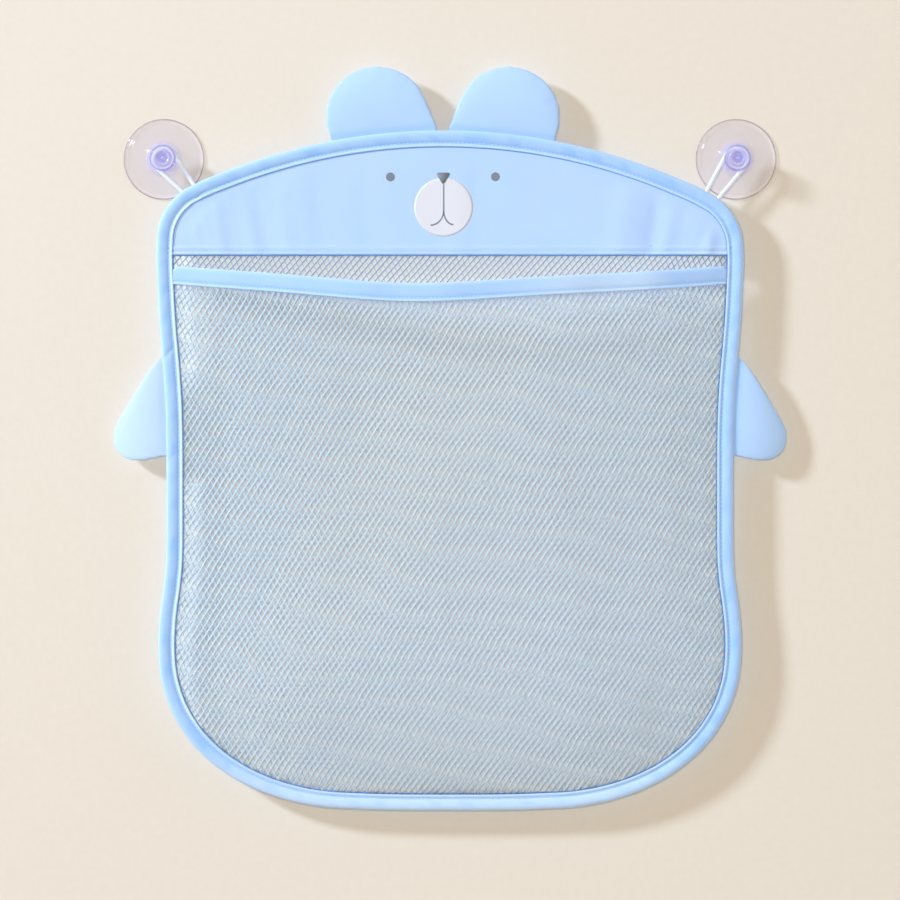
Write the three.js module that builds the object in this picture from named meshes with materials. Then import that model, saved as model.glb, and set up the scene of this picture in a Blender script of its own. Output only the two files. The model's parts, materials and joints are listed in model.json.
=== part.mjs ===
// Mesh bathroom organizer: a net bag with a padded bear head panel, ears and paws, kept open by a
// wire hoop in its edge binding and hung by two cord loops on two suction cups.
// Millimetres. X runs right, Z runs up. The wall is the plane y = 0 and the room is on its -Y side.
// The origin lies on the wall, midway between the suction cups.

import * as THREE from 'three';

// Driving sizes of the bag's outline, as seen from the front.
const cupSpacing = 319;
const crownRise = 15.5; // top of the bag above the line through the cups
const crownRadius = 333;
const headShift = -4; // the head's centre line against the middle of the bag
const shoulderWidth = 326;
const shoulderRadius = 34;
const waistWidth = 315;
const waistTopDrop = 167;
const waistBottomDrop = 212;
const hipWidth = 324;
const hipDrop = 273;
const baseDrop = 362.5;
const baseFlatWidth = 100;
const baseSag = 0.7; // the base's middle below the ends of its nearly straight stretch
const cornerFullnessShare = 0.59;

// Depths, measured from the wall into the room.
const frameStandoff = 10.5; // wall to the middle of the edge binding
const mouthDepth = 18; // how far the pocket's hem bows out of the binding
const bellyDepth = 25; // how far the pocket's belly hangs out
const bellyDrop = 150; // from the mouth down to the full belly
const baseReach = 90; // height of the pocket's rounded foot

// Clearances and cloth.
const fitGap = 0.3;
const clothThickness = 0.6;
const netThickness = 0.8;
const layerGap = 0.4; // between the rear net and what is sewn in front of it

// Edge binding, with the wire hoop in its fold.
const bindingWidth = 9;
const wireDiameter = 1.8;
const sleeveWall = 0.35;
const sleeveLength = 16;
const cavityGap = 0.45;
const sleeveRadius = wireDiameter / 2 + fitGap + sleeveWall;
const cavityRadius = sleeveRadius + cavityGap;
const foldRadius = cavityRadius + clothThickness;
const wireInset = foldRadius;
const slotHalf = layerGap / 2 + netThickness + fitGap;
const lipHalf = slotHalf + clothThickness;
const clothEdgeInset = wireInset + cavityRadius + fitGap;
const netLaceInset = bindingWidth + fitGap;

// Head panel, pocket hem and nets.
const headPanelDrop = 53.5; // the head panel's lower edge below the cups
const mouthDrop = 61; // the hem's upper edge at its two ends, below the cups
const mouthSag = 6.7;
const hemWidth = 10.3;
const hemEndGap = 3;
const cellWidth = 32;
const cellHeight = 50;
const strandWidth = 2.4;
const cornerReachShares = [1, 0.7, 0.4, 0.15];

// Ears and paws: flat padded flaps that fold along their sewn roots.
const flapPuff = 1.7;
const flapRimHalf = fitGap / 2 + clothThickness;
const flapRingShares = [0.88, 0.66, 0.35];
const hingeRise = flapRimHalf + fitGap;
const rootTuck = flapRimHalf; // each face's inner rim reaches this far below the fold line
const earOffset = 36; // ear's centre from the head's centre line
const earRadius = 27.8;
const earRise = 8.8; // ear's centre above its root
const earFlare = 3.9; // the straight inner side runs this far past the round
const pawRootTopDrop = 113;
const pawRootBottomDrop = 163.5;
const pawTipRadius = 12.2;
const pawTipOut = 15.8;
const pawTipRise = 8.9;
const pawShoulderBulge = 1;
const pawFootDip = 1.5;

// Suction cups and cord loops.
const cupRadius = 22.5;
const cupRimWidth = 3;
const cupRimThickness = 1;
const cupHollow = 1.2;
const cupDomeHeight = 4.2;
const cupDomeRadius = 10;
const bossRadius = 8.9;
const neckRadius = 3.5;
const neckLength = 5;
const knobRadius = 7.4;
const knobThickness = 4.6;
const knobDimple = 0.5;
const cordDiameter = 2.5;
const loopBendRadius = 6.2;
const loopRootSpacing = 8;
const loopSeatAngle = Math.PI / 3; // on the shoulder arc, from its level side

// Numbers of steps along each stretch.
const crownSteps = 14;
const shoulderSteps = 7;
const sideSteps = 5;
const cornerSteps = 9;
const hemSteps = 22;
const sectionSteps = 3;
const wireSides = 6;
const cupSides = 24;
const cupCurveSteps = 3;
const cordSides = 8;
const legSteps = 4;
const bendSteps = 14;
const pawTipSteps = 7;
const earSteps = 16;

const colours = {
  cloth: 0xaad4fc,
  net: 0xc4e2f4,
  wadding: 0xf4f4f2,
  vinyl: 0xe8dfe4,
  cord: 0xf2f4fa,
  steel: 0xb9bcc0,
};

function material(colour, roughness, metalness = 0) {
  return new THREE.MeshStandardMaterial({ color: colour, roughness, metalness });
}

const bag = new THREE.Group();

function addMesh(name, geometry, meshMaterial, parent = bag) {
  const mesh = new THREE.Mesh(geometry, meshMaterial);
  mesh.name = name;
  parent.add(mesh);
  return mesh;
}

function range(start, count) {
  return Array.from({ length: count }, (unused, i) => start + i);
}

// A closed body from its points and its triangles.
function bodyGeometry(points, triangles) {
  const geometry = new THREE.BufferGeometry().setFromPoints(points);
  geometry.setIndex(triangles.flat());
  geometry.computeVertexNormals();
  return geometry;
}

// Triangles between two rings of points, where a ring of one point is a pole.
function joinRings(first, firstCount, second, secondCount) {
  const triangles = [];
  const sides = Math.max(firstCount, secondCount);
  for (let i = 0; i < sides; i++) {
    const j = (i + 1) % sides;
    if (firstCount > 1) triangles.push([first + i, first + j, second + (secondCount > 1 ? j : 0)]);
    if (secondCount > 1) triangles.push([first + (firstCount > 1 ? i : 0), second + j, second + i]);
  }
  return triangles;
}

// The skin over a row of rings. It closes on itself, ends in poles, or has its ends capped.
function skinGeometry(rings, { closed = false, capOutline = null } = {}) {
  const starts = rings.map((ring, k) => rings.slice(0, k).reduce((sum, each) => sum + each.length, 0));
  const triangles = [];
  for (let k = 0; k < rings.length - (closed ? 0 : 1); k++) {
    const next = (k + 1) % rings.length;
    triangles.push(...joinRings(starts[k], rings[k].length, starts[next], rings[next].length));
  }
  if (capOutline) {
    const cap = THREE.ShapeUtils.triangulateShape(capOutline, []);
    const lastStart = starts.at(-1);
    for (const [a, b, c] of cap) {
      triangles.push([a, c, b], [lastStart + a, lastStart + b, lastStart + c]);
    }
  }
  return bodyGeometry(rings.flat(), triangles);
}

// The bag's outline, anticlockwise from the middle of its base, as curves with their step counts.
const crownCentre = new THREE.Vector2(headShift, crownRise - crownRadius);

function shoulderArc(side) {
  const x = side * (shoulderWidth / 2 - shoulderRadius);
  const reach = crownRadius - shoulderRadius;
  const z = crownCentre.y + Math.sqrt(reach ** 2 - (x - headShift) ** 2);
  return { centre: new THREE.Vector2(x, z), crownAngle: Math.atan2(z - crownCentre.y, x - crownCentre.x) };
}

const shoulders = { right: shoulderArc(1), left: shoulderArc(-1) };

function arcCurve(centre, radius, from, to) {
  return new THREE.EllipseCurve(centre.x, centre.y, radius, radius, from, to);
}

// A curve between two upright tangents, as the sides have.
function easedSide(start, end) {
  const middle = (start.y + end.y) / 2;
  const first = new THREE.Vector2(start.x, middle);
  const second = new THREE.Vector2(end.x, middle);
  return new THREE.CubicBezierCurve(start, first, second, end);
}

// A lower corner, fuller than a quarter of an ellipse, from the hip down to the flat of the base.
function cornerCurve(side) {
  const hip = new THREE.Vector2(side * hipWidth / 2, -hipDrop);
  const foot = new THREE.Vector2(side * baseFlatWidth / 2, baseSag - baseDrop);
  const below = new THREE.Vector2(hip.x, hip.y + (foot.y - hip.y) * cornerFullnessShare);
  const beside = new THREE.Vector2(foot.x + (hip.x - foot.x) * cornerFullnessShare, foot.y);
  return new THREE.CubicBezierCurve(hip, below, beside, foot);
}

function reversed(curve) {
  return new THREE.CubicBezierCurve(curve.v3, curve.v2, curve.v1, curve.v0);
}

// One side, from the shoulder down to the hip.
function sideCurves(side, shoulder) {
  const top = new THREE.Vector2(side * shoulderWidth / 2, shoulder.centre.y);
  const waistTop = new THREE.Vector2(side * waistWidth / 2, -waistTopDrop);
  const waistBottom = new THREE.Vector2(side * waistWidth / 2, -waistBottomDrop);
  const hip = new THREE.Vector2(side * hipWidth / 2, -hipDrop);
  return [easedSide(top, waistTop), easedSide(waistTop, waistBottom), easedSide(waistBottom, hip)];
}

function outlineCurves() {
  const { left, right } = shoulders;
  const base = new THREE.Vector2(0, -baseDrop);
  const foot = (side) => new THREE.Vector2(side * baseFlatWidth / 2, baseSag - baseDrop);
  return [
    [new THREE.LineCurve(base, foot(1)), 1],
    [reversed(cornerCurve(1)), cornerSteps],
    ...sideCurves(1, right).reverse().map((curve) => [reversed(curve), sideSteps]),
    [arcCurve(right.centre, shoulderRadius, 0, right.crownAngle), shoulderSteps],
    [arcCurve(crownCentre, crownRadius, right.crownAngle, left.crownAngle), crownSteps],
    [arcCurve(left.centre, shoulderRadius, left.crownAngle, Math.PI), shoulderSteps],
    ...sideCurves(-1, left).map((curve) => [curve, sideSteps]),
    [cornerCurve(-1), cornerSteps],
    [new THREE.LineCurve(foot(-1), base), 1],
  ];
}

// Stations round a closed outline: a point, and the direction into it, long enough to keep a
// parallel edge parallel.
function stationsOf(points) {
  return points.map((point, i) => {
    const before = points.at(i - 1);
    const after = points[(i + 1) % points.length];
    const arriving = point.clone().sub(before).normalize();
    const leaving = after.clone().sub(point).normalize();
    const along = arriving.clone().add(leaving).normalize();
    const inward = new THREE.Vector2(-along.y, along.x).divideScalar(along.dot(leaving));
    return { point, inward };
  });
}

const stations = stationsOf(
  outlineCurves().flatMap(([curve, steps]) => curve.getPoints(steps).slice(0, -1)),
);

function inset(someStations, distance) {
  return someStations.map(({ point, inward }) => point.clone().addScaledVector(inward, distance));
}

// The stations above (side 1) or below (side -1) a level, from one cut to the other.
function cutStations(level, side) {
  const kept = (station) => side * (station.point.y - level) > 0;
  const start = stations.findIndex((station) => !kept(station));
  const walk = [...stations.slice(start), ...stations.slice(0, start + 1)];
  const result = [];
  for (let i = 1; i < walk.length; i++) {
    const [before, here] = [walk[i - 1], walk[i]];
    if (kept(before) !== kept(here)) {
      const share = (level - before.point.y) / (here.point.y - before.point.y);
      result.push({
        point: before.point.clone().lerp(here.point, share),
        inward: before.inward.clone().lerp(here.inward, share),
      });
    }
    if (kept(here)) result.push(here);
  }
  return result;
}

// Half the width inside a closed loop of points at a level, read on its right side.
function halfWidthAt(loop, level) {
  let width = 0;
  loop.forEach((point, i) => {
    const next = loop[(i + 1) % loop.length];
    if ((point.y - level) * (next.y - level) <= 0 && point.y !== next.y) {
      const share = (level - point.y) / (next.y - point.y);
      width = Math.max(width, point.x + (next.x - point.x) * share);
    }
  });
  return width;
}

const laceLoop = inset(stations, netLaceInset);
const laceBase = -baseDrop + netLaceInset;

// How far the pocket stands out of the binding at a place. It is zero along the binding.
function pocketBulge(x, z) {
  const width = halfWidthAt(laceLoop, z);
  if (width <= Math.abs(x) || z <= laceBase) return 0;
  const depth = THREE.MathUtils.lerp(mouthDepth, bellyDepth,
    THREE.MathUtils.smoothstep(-z, mouthDrop, mouthDrop + bellyDrop));
  const rise = Math.min((z - laceBase) / baseReach, 1);
  const sideShare = 1 - (x / width) ** 2;
  const baseShare = 1 - (1 - rise) ** 2;
  return depth * sideShare * baseShare;
}

// A place in the bag: across, into the room from the binding's middle plane, and up.
function place(x, forward, z) {
  return new THREE.Vector3(x, -(frameStandoff + forward), z);
}

// The binding: a folded tape with a round hollow for the hoop and a slot for the cloth edges.
function bindingSection() {
  const slotAngle = Math.asin(slotHalf / cavityRadius);
  const section = new THREE.Path();
  section.moveTo(bindingWidth, slotHalf);
  section.lineTo(bindingWidth, lipHalf);
  section.lineTo(wireInset, foldRadius);
  section.absarc(wireInset, 0, foldRadius, Math.PI / 2, Math.PI * 3 / 2);
  section.lineTo(bindingWidth, -lipHalf);
  section.lineTo(bindingWidth, -slotHalf);
  section.lineTo(wireInset + cavityRadius * Math.cos(slotAngle), -slotHalf);
  section.absarc(wireInset, 0, cavityRadius, -slotAngle, slotAngle, true);
  return section.getPoints(sectionSteps);
}

// A section carried along stations: its first size runs into the bag, its second into the room.
function carriedRings(someStations, section) {
  return someStations.map(({ point, inward }) => section.map(({ x, y }) => (
    place(point.x + inward.x * x, y, point.y + inward.y * x))));
}

function edgeBinding() {
  return skinGeometry(carriedRings(stations, bindingSection()), { closed: true });
}

// The hoop's wire runs round the fold and its two ends meet in the sleeve at the base.
function stiffenerHoop() {
  const section = new THREE.Path().absarc(wireInset, 0, wireDiameter / 2, 0, Math.PI * 2)
    .getPoints(wireSides / 2).slice(0, -1);
  const [base] = stations;
  const endAt = (x) => ({ point: new THREE.Vector2(x, base.point.y), inward: base.inward });
  const run = [endAt(fitGap / 2), ...stations.slice(1), endAt(-fitGap / 2)];
  return skinGeometry(carriedRings(run, section), { capOutline: section });
}

function hoopSleeve() {
  const bore = wireDiameter / 2 + fitGap;
  const profile = [
    new THREE.Vector2(bore, -sleeveLength / 2),
    new THREE.Vector2(sleeveRadius, -sleeveLength / 2),
    new THREE.Vector2(sleeveRadius, sleeveLength / 2),
    new THREE.Vector2(bore, sleeveLength / 2),
    new THREE.Vector2(bore, -sleeveLength / 2),
  ];
  return new THREE.LatheGeometry(profile, wireSides * 2);
}

// The head panel fills the crown, in front of the rear net.
function headPanel() {
  const edge = inset(cutStations(-headPanelDrop, 1), clothEdgeInset);
  const settings = { depth: netThickness, bevelEnabled: false };
  return new THREE.ExtrudeGeometry(new THREE.Shape(edge), settings).rotateX(Math.PI / 2);
}

function insideLoop(loop, point) {
  let inside = false;
  loop.forEach((here, i) => {
    const next = loop[(i + 1) % loop.length];
    const crosses = (here.y > point.y) !== (next.y > point.y);
    if (crosses && point.x < here.x + (next.x - here.x) * (point.y - here.y) / (next.y - here.y)) {
      inside = !inside;
    }
  });
  return inside;
}

// The gaps of a net inside a loop. A diamond whose corner would leave the loop has that corner
// drawn back towards its middle, and each gap is drawn in by half a strand.
function diamondGaps(loop) {
  const corners = [[1, 0], [0, 1], [-1, 0], [0, -1]];
  const rows = Math.ceil((crownRise + baseDrop) / (cellHeight / 2));
  const columns = Math.ceil(shoulderWidth / cellWidth);
  const gaps = [];
  for (let row = 1; row < rows; row++) {
    for (let column = -columns; column <= columns; column++) {
      const across = (column + (row % 2) / 2) * cellWidth;
      const middle = new THREE.Vector2(across, crownRise - row * cellHeight / 2);
      const cornerAt = ([right, up], share) => (
        new THREE.Vector2(right * cellWidth / 2, up * cellHeight / 2).multiplyScalar(share).add(middle));
      const reaches = corners.map((corner) => (
        cornerReachShares.find((share) => insideLoop(loop, cornerAt(corner, share)))));
      const drawnBack = reaches.filter((share) => share !== 1);
      if (drawnBack.length > 1 || drawnBack.includes(undefined)) continue;
      const outline = corners.map((corner, i) => cornerAt(corner, reaches[i]));
      gaps.push(inset(stationsOf(outline), strandWidth / 2));
    }
  }
  return gaps;
}

// Flat triangles with the shared edges of neighbours turned until none would be rounder if turned.
function roundedTriangles(points, triangles) {
  const angleSlack = 1e-6; // radians, so that two equally round choices don't take turns for ever
  const faces = [...triangles];
  const angleAt = (corner, a, b) => {
    const toA = points[a].clone().sub(points[corner]).normalize();
    const toB = points[b].clone().sub(points[corner]).normalize();
    return Math.acos(THREE.MathUtils.clamp(toA.dot(toB), -1, 1));
  };
  for (let turning = true; turning;) {
    turning = false;
    const sides = new Map();
    const turned = new Set();
    faces.forEach((face, k) => face.forEach((a, i) => {
      sides.set(`${a} ${face[(i + 1) % 3]}`, [k, face[(i + 2) % 3]]);
    }));
    for (const [side, [k, c]] of sides) {
      const [a, b] = side.split(' ').map(Number);
      const [other, d] = sides.get(`${b} ${a}`) ?? [];
      if (other === undefined || turned.has(k) || turned.has(other)) continue;
      if (angleAt(c, a, b) + angleAt(d, a, b) <= Math.PI + angleSlack) continue;
      faces[k] = [a, d, c];
      faces[other] = [d, b, c];
      turned.add(k).add(other);
      turning = true;
    }
  }
  return faces;
}

// A net with an unbroken selvedge between its cut edge and the loop that its gaps fill. anchors
// gives, for each point of the cut edge, the point of the inner loop that it faces.
function netGeometry({ cutEdge, inner, anchors, forward, bulge }) {
  const gaps = diamondGaps(inner);
  const flat = [...cutEdge, ...inner, ...gaps.flat()];
  const count = flat.length;
  const between = THREE.ShapeUtils.triangulateShape(inner, gaps);
  const faces = roundedTriangles([...inner, ...gaps.flat()], between)
    .map((face) => face.map((i) => i + cutEdge.length));
  cutEdge.forEach((point, i) => {
    const next = (i + 1) % cutEdge.length;
    const [here, ahead] = [anchors[i] + cutEdge.length, anchors[next] + cutEdge.length];
    faces.push([i, next, ahead]);
    if (here !== ahead) faces.push([i, ahead, here]);
  });
  const triangles = faces.flatMap(([a, b, c]) => [[a, b, c], [count + a, count + c, count + b]]);
  const edges = [range(0, cutEdge.length)];
  let gapStart = cutEdge.length + inner.length;
  for (const gap of gaps) {
    edges.push(range(gapStart, gap.length).reverse());
    gapStart += gap.length;
  }
  for (const edge of edges) {
    edge.forEach((from, i) => {
      const to = edge[(i + 1) % edge.length];
      triangles.push([from, count + to, to], [from, count + from, count + to]);
    });
  }
  const layer = (offset) => flat.map(({ x, y }) => place(x, forward + bulge(x, y) + offset, y));
  return bodyGeometry([...layer(netThickness / 2), ...layer(-netThickness / 2)], triangles);
}

const layerOffset = (layerGap + netThickness) / 2;

function rearNet() {
  return netGeometry({
    cutEdge: inset(stations, clothEdgeInset),
    inner: laceLoop,
    anchors: range(0, stations.length),
    forward: -layerOffset,
    bulge: () => 0,
  });
}

// The hem's upper edge: level at its ends, sagging between them.
function hemLevel(x) {
  const width = halfWidthAt(laceLoop, -mouthDrop);
  return -mouthDrop - mouthSag * Math.max(0, 1 - (x / width) ** 2);
}

// The pocket net's cut edge runs round inside the binding and along the fold of the hem. Its gaps
// start below the hem.
function pocketNet() {
  const hemFold = clothThickness + fitGap;
  const seamDrop = hemWidth + strandWidth / 2;
  const sides = cutStations(-mouthDrop - seamDrop, -1);
  const lace = inset(sides, netLaceInset);
  const mouthEnds = cutStations(-mouthDrop - hemFold, -1);
  const [leftEnd, rightEnd] = inset([mouthEnds[0], mouthEnds.at(-1)], clothEdgeInset);
  const across = range(0, hemSteps + 1)
    .map((i) => THREE.MathUtils.lerp(lace.at(-1).x, lace[0].x, i / hemSteps));
  const mouth = across.map((x) => new THREE.Vector2(x, hemLevel(x) - hemFold));
  const seam = across.slice(1, -1).map((x) => new THREE.Vector2(x, hemLevel(x) - seamDrop));
  const lastLace = lace.length - 1;
  return netGeometry({
    cutEdge: [...inset(sides, clothEdgeInset), rightEnd, ...mouth, leftEnd],
    inner: [...lace, ...seam],
    anchors: [...range(0, lace.length), lastLace, ...range(lastLace, hemSteps), 0, 0],
    forward: layerOffset,
    bulge: pocketBulge,
  });
}

// The hem: a tape folded over the pocket net's free edge.
function pocketHem() {
  const slot = netThickness / 2 + fitGap;
  const outer = slot + clothThickness;
  const fold = clothThickness;
  const half = [[0, slot], [fold, outer], [hemWidth, outer], [hemWidth, slot], [fold, slot]];
  const section = [...half, ...half.map(([down, out]) => [down, -out]).reverse()];
  const end = halfWidthAt(laceLoop, -mouthDrop) - hemEndGap;
  const rings = [];
  for (let i = 0; i <= hemSteps; i++) {
    const x = THREE.MathUtils.lerp(-end, end, i / hemSteps);
    rings.push(section.map(([down, out]) => {
      const z = hemLevel(x) - down;
      return place(x, layerOffset + pocketBulge(x, z) + out, z);
    }));
  }
  return skinGeometry(rings, { capOutline: section.map(([down, out]) => new THREE.Vector2(out, down)) });
}

// Ears and paws. An outline runs anticlockwise from the root, which lies on the X axis. An ear is
// round, and its inner side runs straight from the round to the root.
function earOutline() {
  const reach = Math.sqrt(earRadius ** 2 - earRise ** 2);
  const outerAngle = Math.asin(-earRise / earRadius);
  const innerRoot = new THREE.Vector2(-earRadius - earFlare, 0);
  const toRoot = innerRoot.clone().sub(new THREE.Vector2(0, earRise));
  const innerAngle = toRoot.angle() - Math.acos(earRadius / toRoot.length());
  const arc = new THREE.EllipseCurve(0, earRise, earRadius, earRadius, outerAngle, innerAngle);
  const rootMiddle = new THREE.Vector2((innerRoot.x + reach) / 2, 0);
  return [...arc.getPoints(earSteps), innerRoot, rootMiddle];
}

// The paw droops: its round tip is near the root's lower end, and its upper side is a long slope.
function pawOutline() {
  const rootLength = pawRootBottomDrop - pawRootTopDrop;
  const upper = new THREE.Vector2(rootLength, 0);
  const tip = new THREE.Vector2(pawTipRise, pawTipOut);
  const toUpper = upper.clone().sub(tip);
  const slope = toUpper.angle() + Math.acos(pawTipRadius / toUpper.length());
  const outward = new THREE.Vector2(Math.cos(slope), Math.sin(slope));
  const tangent = tip.clone().addScaledVector(outward, pawTipRadius);
  const crest = upper.clone().lerp(tangent, 0.5).addScaledVector(outward, 2 * pawShoulderBulge);
  const upperSide = new THREE.QuadraticBezierCurve(upper, crest, tangent);
  const round = new THREE.EllipseCurve(tip.x, tip.y, pawTipRadius, pawTipRadius, slope, Math.PI);
  const foot = new THREE.Vector2(-pawFootDip, 0);
  return [
    ...upperSide.getPoints(sideSteps).slice(0, -1),
    ...round.getPoints(pawTipSteps),
    foot,
    new THREE.Vector2(rootLength / 2, 0),
  ];
}

function centreOf(outline) {
  const box = new THREE.Box2().setFromPoints(outline);
  return box.getCenter(new THREE.Vector2());
}

// Half the space inside a flap, at a share of the way from its middle to its edge.
function flapInside(share) {
  return fitGap / 2 + flapPuff * Math.sqrt(1 - share ** 2);
}

function flapRing(outline, share, forward, tuck = 0) {
  const centre = centreOf(outline);
  if (share === 0) return [new THREE.Vector3(centre.x, -forward, centre.y)];
  return outline.map((point) => {
    const { x, y } = centre.clone().lerp(point, share);
    return new THREE.Vector3(x, -forward, point.y < fitGap ? y - tuck : y);
  });
}

// One cloth face of a flap: a shallow dish, open towards the other face. Its inner rim is tucked
// down at the root, as far as a half turn about the fold line leaves clear.
function flapFace(outline) {
  const shares = [0, ...flapRingShares.toReversed(), 1];
  const tuckAt = (share) => (share === 1 ? rootTuck : 0);
  const inside = shares.map((share) => flapRing(outline, share, flapInside(share), tuckAt(share)));
  const outside = shares.map((share) => flapRing(outline, share, flapInside(share) + clothThickness));
  return skinGeometry([...inside, ...outside.reverse()]);
}

function flapWadding(outline) {
  const shares = [0, ...flapRingShares.toReversed()];
  const back = shares.map((share) => flapRing(outline, share, fitGap - flapInside(share)));
  const front = shares.map((share) => flapRing(outline, share, flapInside(share) - fitGap));
  return skinGeometry([...back, ...front.reverse()]);
}

function mirrored(outline) {
  return outline.map(({ x, y }) => new THREE.Vector2(-x, y)).reverse();
}

function addFlap(name, outline, root, lean) {
  const group = new THREE.Group();
  group.position.copy(root);
  group.rotation.y = lean;
  const cloth = material(colours.cloth, 0.8);
  addMesh(`${name}_front`, flapFace(outline), cloth.clone(), group);
  const back = addMesh(`${name}_back`, flapFace(mirrored(outline)), cloth.clone(), group);
  back.rotation.z = Math.PI;
  addMesh(`${name}_wadding`, flapWadding(outline), material(colours.wadding, 1), group);
  bag.add(group);
}

// A flap's root line stands just clear of the highest point of the binding between its ends.
function rootLine(from, to) {
  const along = to.clone().sub(from).normalize();
  const outward = new THREE.Vector2(-along.y, along.x);
  if (outward.dot(from.clone().sub(new THREE.Vector2(0, -waistTopDrop))) < 0) outward.negate();
  const between = stations.map(({ point }) => point.clone().sub(from))
    .filter((offset) => offset.dot(along) > 0 && offset.dot(along) < to.distanceTo(from));
  const highest = Math.max(0, ...between.map((offset) => offset.dot(outward)));
  return { along, outward, lift: highest + hingeRise };
}

function crownPoint(distance) {
  const z = crownCentre.y + Math.sqrt(crownRadius ** 2 - distance ** 2);
  return new THREE.Vector2(headShift + distance, z);
}

function addEar(name, side) {
  const reach = Math.sqrt(earRadius ** 2 - earRise ** 2);
  const inner = crownPoint(side * (earOffset - earRadius - earFlare));
  const outer = crownPoint(side * (earOffset + reach));
  const { along, outward, lift } = rootLine(inner, outer);
  const middle = inner.clone().addScaledVector(along, earRadius + earFlare).addScaledVector(outward, lift);
  const outline = side > 0 ? earOutline() : mirrored(earOutline());
  addFlap(name, outline, place(middle.x, 0, middle.y), -Math.atan2(along.y, along.x * side) * side);
}

const outerLoop = inset(stations, 0);

function addPaw(name, side) {
  const sidePoint = (drop) => new THREE.Vector2(side * halfWidthAt(outerLoop, -drop), -drop);
  const foot = sidePoint(pawRootBottomDrop);
  const { along, outward, lift } = rootLine(foot, sidePoint(pawRootTopDrop));
  const root = foot.addScaledVector(outward, lift);
  const outline = side > 0 ? mirrored(pawOutline()) : pawOutline();
  const turn = Math.atan2(side * along.x, along.y);
  addFlap(name, outline, place(root.x, 0, root.y), side * (Math.PI / 2 + turn));
}

// A suction cup, pressed flat: a thin disc with a vacuum hollow, a boss, a neck and a knob.
function suctionCup() {
  const neckStart = frameStandoff - neckLength / 2;
  const knobStart = frameStandoff + neckLength / 2;
  const knobRound = knobThickness / 4;
  const rimRound = cupRimThickness / 2;
  const rimCentre = cupRadius - rimRound;
  const profile = new THREE.Path();
  profile.moveTo(0, cupHollow);
  profile.lineTo(cupRadius - 2 * cupRimWidth, cupHollow / 2);
  profile.lineTo(cupRadius - cupRimWidth, 0);
  profile.lineTo(rimCentre, 0);
  profile.absarc(rimCentre, rimRound, rimRound, -Math.PI / 2, Math.PI / 2);
  profile.quadraticCurveTo(cupRadius - cupRimWidth, cupRimThickness, cupDomeRadius, cupDomeHeight);
  profile.lineTo(bossRadius, cupDomeHeight);
  profile.lineTo(bossRadius, neckStart - knobRound);
  profile.lineTo(bossRadius - knobRound, neckStart);
  profile.lineTo(neckRadius, neckStart);
  profile.lineTo(neckRadius, knobStart);
  profile.lineTo(knobRadius - knobRound, knobStart);
  profile.quadraticCurveTo(knobRadius, knobStart, knobRadius, knobStart + knobRound);
  profile.quadraticCurveTo(knobRadius, knobStart + knobThickness, neckRadius, knobStart + knobThickness);
  profile.lineTo(0, knobStart + knobThickness - knobDimple);
  return new THREE.LatheGeometry(profile.getPoints(cupCurveSteps), cupSides);
}

// The cord loop: two legs from the binding that wrap the cup's neck.
function loopRoot(side) {
  const { centre } = side > 0 ? shoulders.right : shoulders.left;
  const outward = new THREE.Vector2(side * Math.cos(loopSeatAngle), Math.sin(loopSeatAngle));
  const along = new THREE.Vector2(-outward.y, outward.x);
  const point = centre.clone().addScaledVector(outward, shoulderRadius + fitGap + cordDiameter / 2);
  return { point, outward, along };
}

function loopPath(side) {
  const { point, along } = loopRoot(side);
  const neck = new THREE.Vector2(side * cupSpacing / 2, 0);
  const away = neck.clone().sub(point).normalize();
  const overshoot = loopBendRadius - neckRadius - fitGap - cordDiameter / 2;
  const centre = neck.clone().addScaledVector(away, -overshoot);
  const leg = (sign) => {
    const foot = point.clone().addScaledVector(along, sign * loopRootSpacing / 2);
    const toFoot = foot.clone().sub(centre);
    return { foot, angle: toFoot.angle() - sign * Math.acos(loopBendRadius / toFoot.length()) };
  };
  const [first, last] = [leg(1), leg(-1)];
  const sweep = THREE.MathUtils.euclideanModulo(last.angle - first.angle, -Math.PI * 2);
  const bend = range(0, bendSteps + 1).map((i) => {
    const angle = first.angle + sweep * i / bendSteps;
    const outward = new THREE.Vector2(Math.cos(angle), Math.sin(angle));
    return centre.clone().addScaledVector(outward, loopBendRadius);
  });
  const legPoints = (foot, end) => range(0, legSteps).map((i) => foot.clone().lerp(end, i / legSteps));
  return [...legPoints(first.foot, bend[0]), ...bend, ...legPoints(last.foot, bend.at(-1)).reverse()];
}

// A round cord along points in the bag's plane, with round ends.
function cordGeometry(path) {
  const radius = cordDiameter / 2;
  const ringAt = (centre, along, share) => {
    const across = new THREE.Vector2(-along.y, along.x);
    return range(0, cordSides).map((i) => {
      const angle = i / cordSides * Math.PI * 2;
      const side = centre.clone().addScaledVector(across, Math.cos(angle) * radius * share);
      return place(side.x, Math.sin(angle) * radius * share, side.y);
    });
  };
  const directionAt = (i) => {
    const [before, after] = [path[Math.max(i - 1, 0)], path[Math.min(i + 1, path.length - 1)]];
    return after.clone().sub(before).normalize();
  };
  const rings = path.map((point, i) => ringAt(point, directionAt(i), 1));
  const roundEnd = (i, sign) => {
    const [point, along] = [path[i], directionAt(i)];
    const shoulderAngle = Math.PI / 4;
    const shoulder = point.clone().addScaledVector(along, sign * radius * Math.sin(shoulderAngle));
    const pole = point.clone().addScaledVector(along, sign * radius);
    return [[place(pole.x, 0, pole.y)], ringAt(shoulder, along, Math.cos(shoulderAngle))];
  };
  const start = roundEnd(0, -1);
  const finish = roundEnd(path.length - 1, 1).reverse();
  return skinGeometry([...start, ...rings, ...finish]);
}

function addHanger(name, side) {
  addMesh(`cord_loop_${name}`, cordGeometry(loopPath(side)), material(colours.cord, 0.3));
  const cup = addMesh(`suction_cup_${name}`, suctionCup(), material(colours.vinyl, 0.15));
  cup.position.x = side * cupSpacing / 2;
  cup.rotation.x = Math.PI;
}

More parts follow.
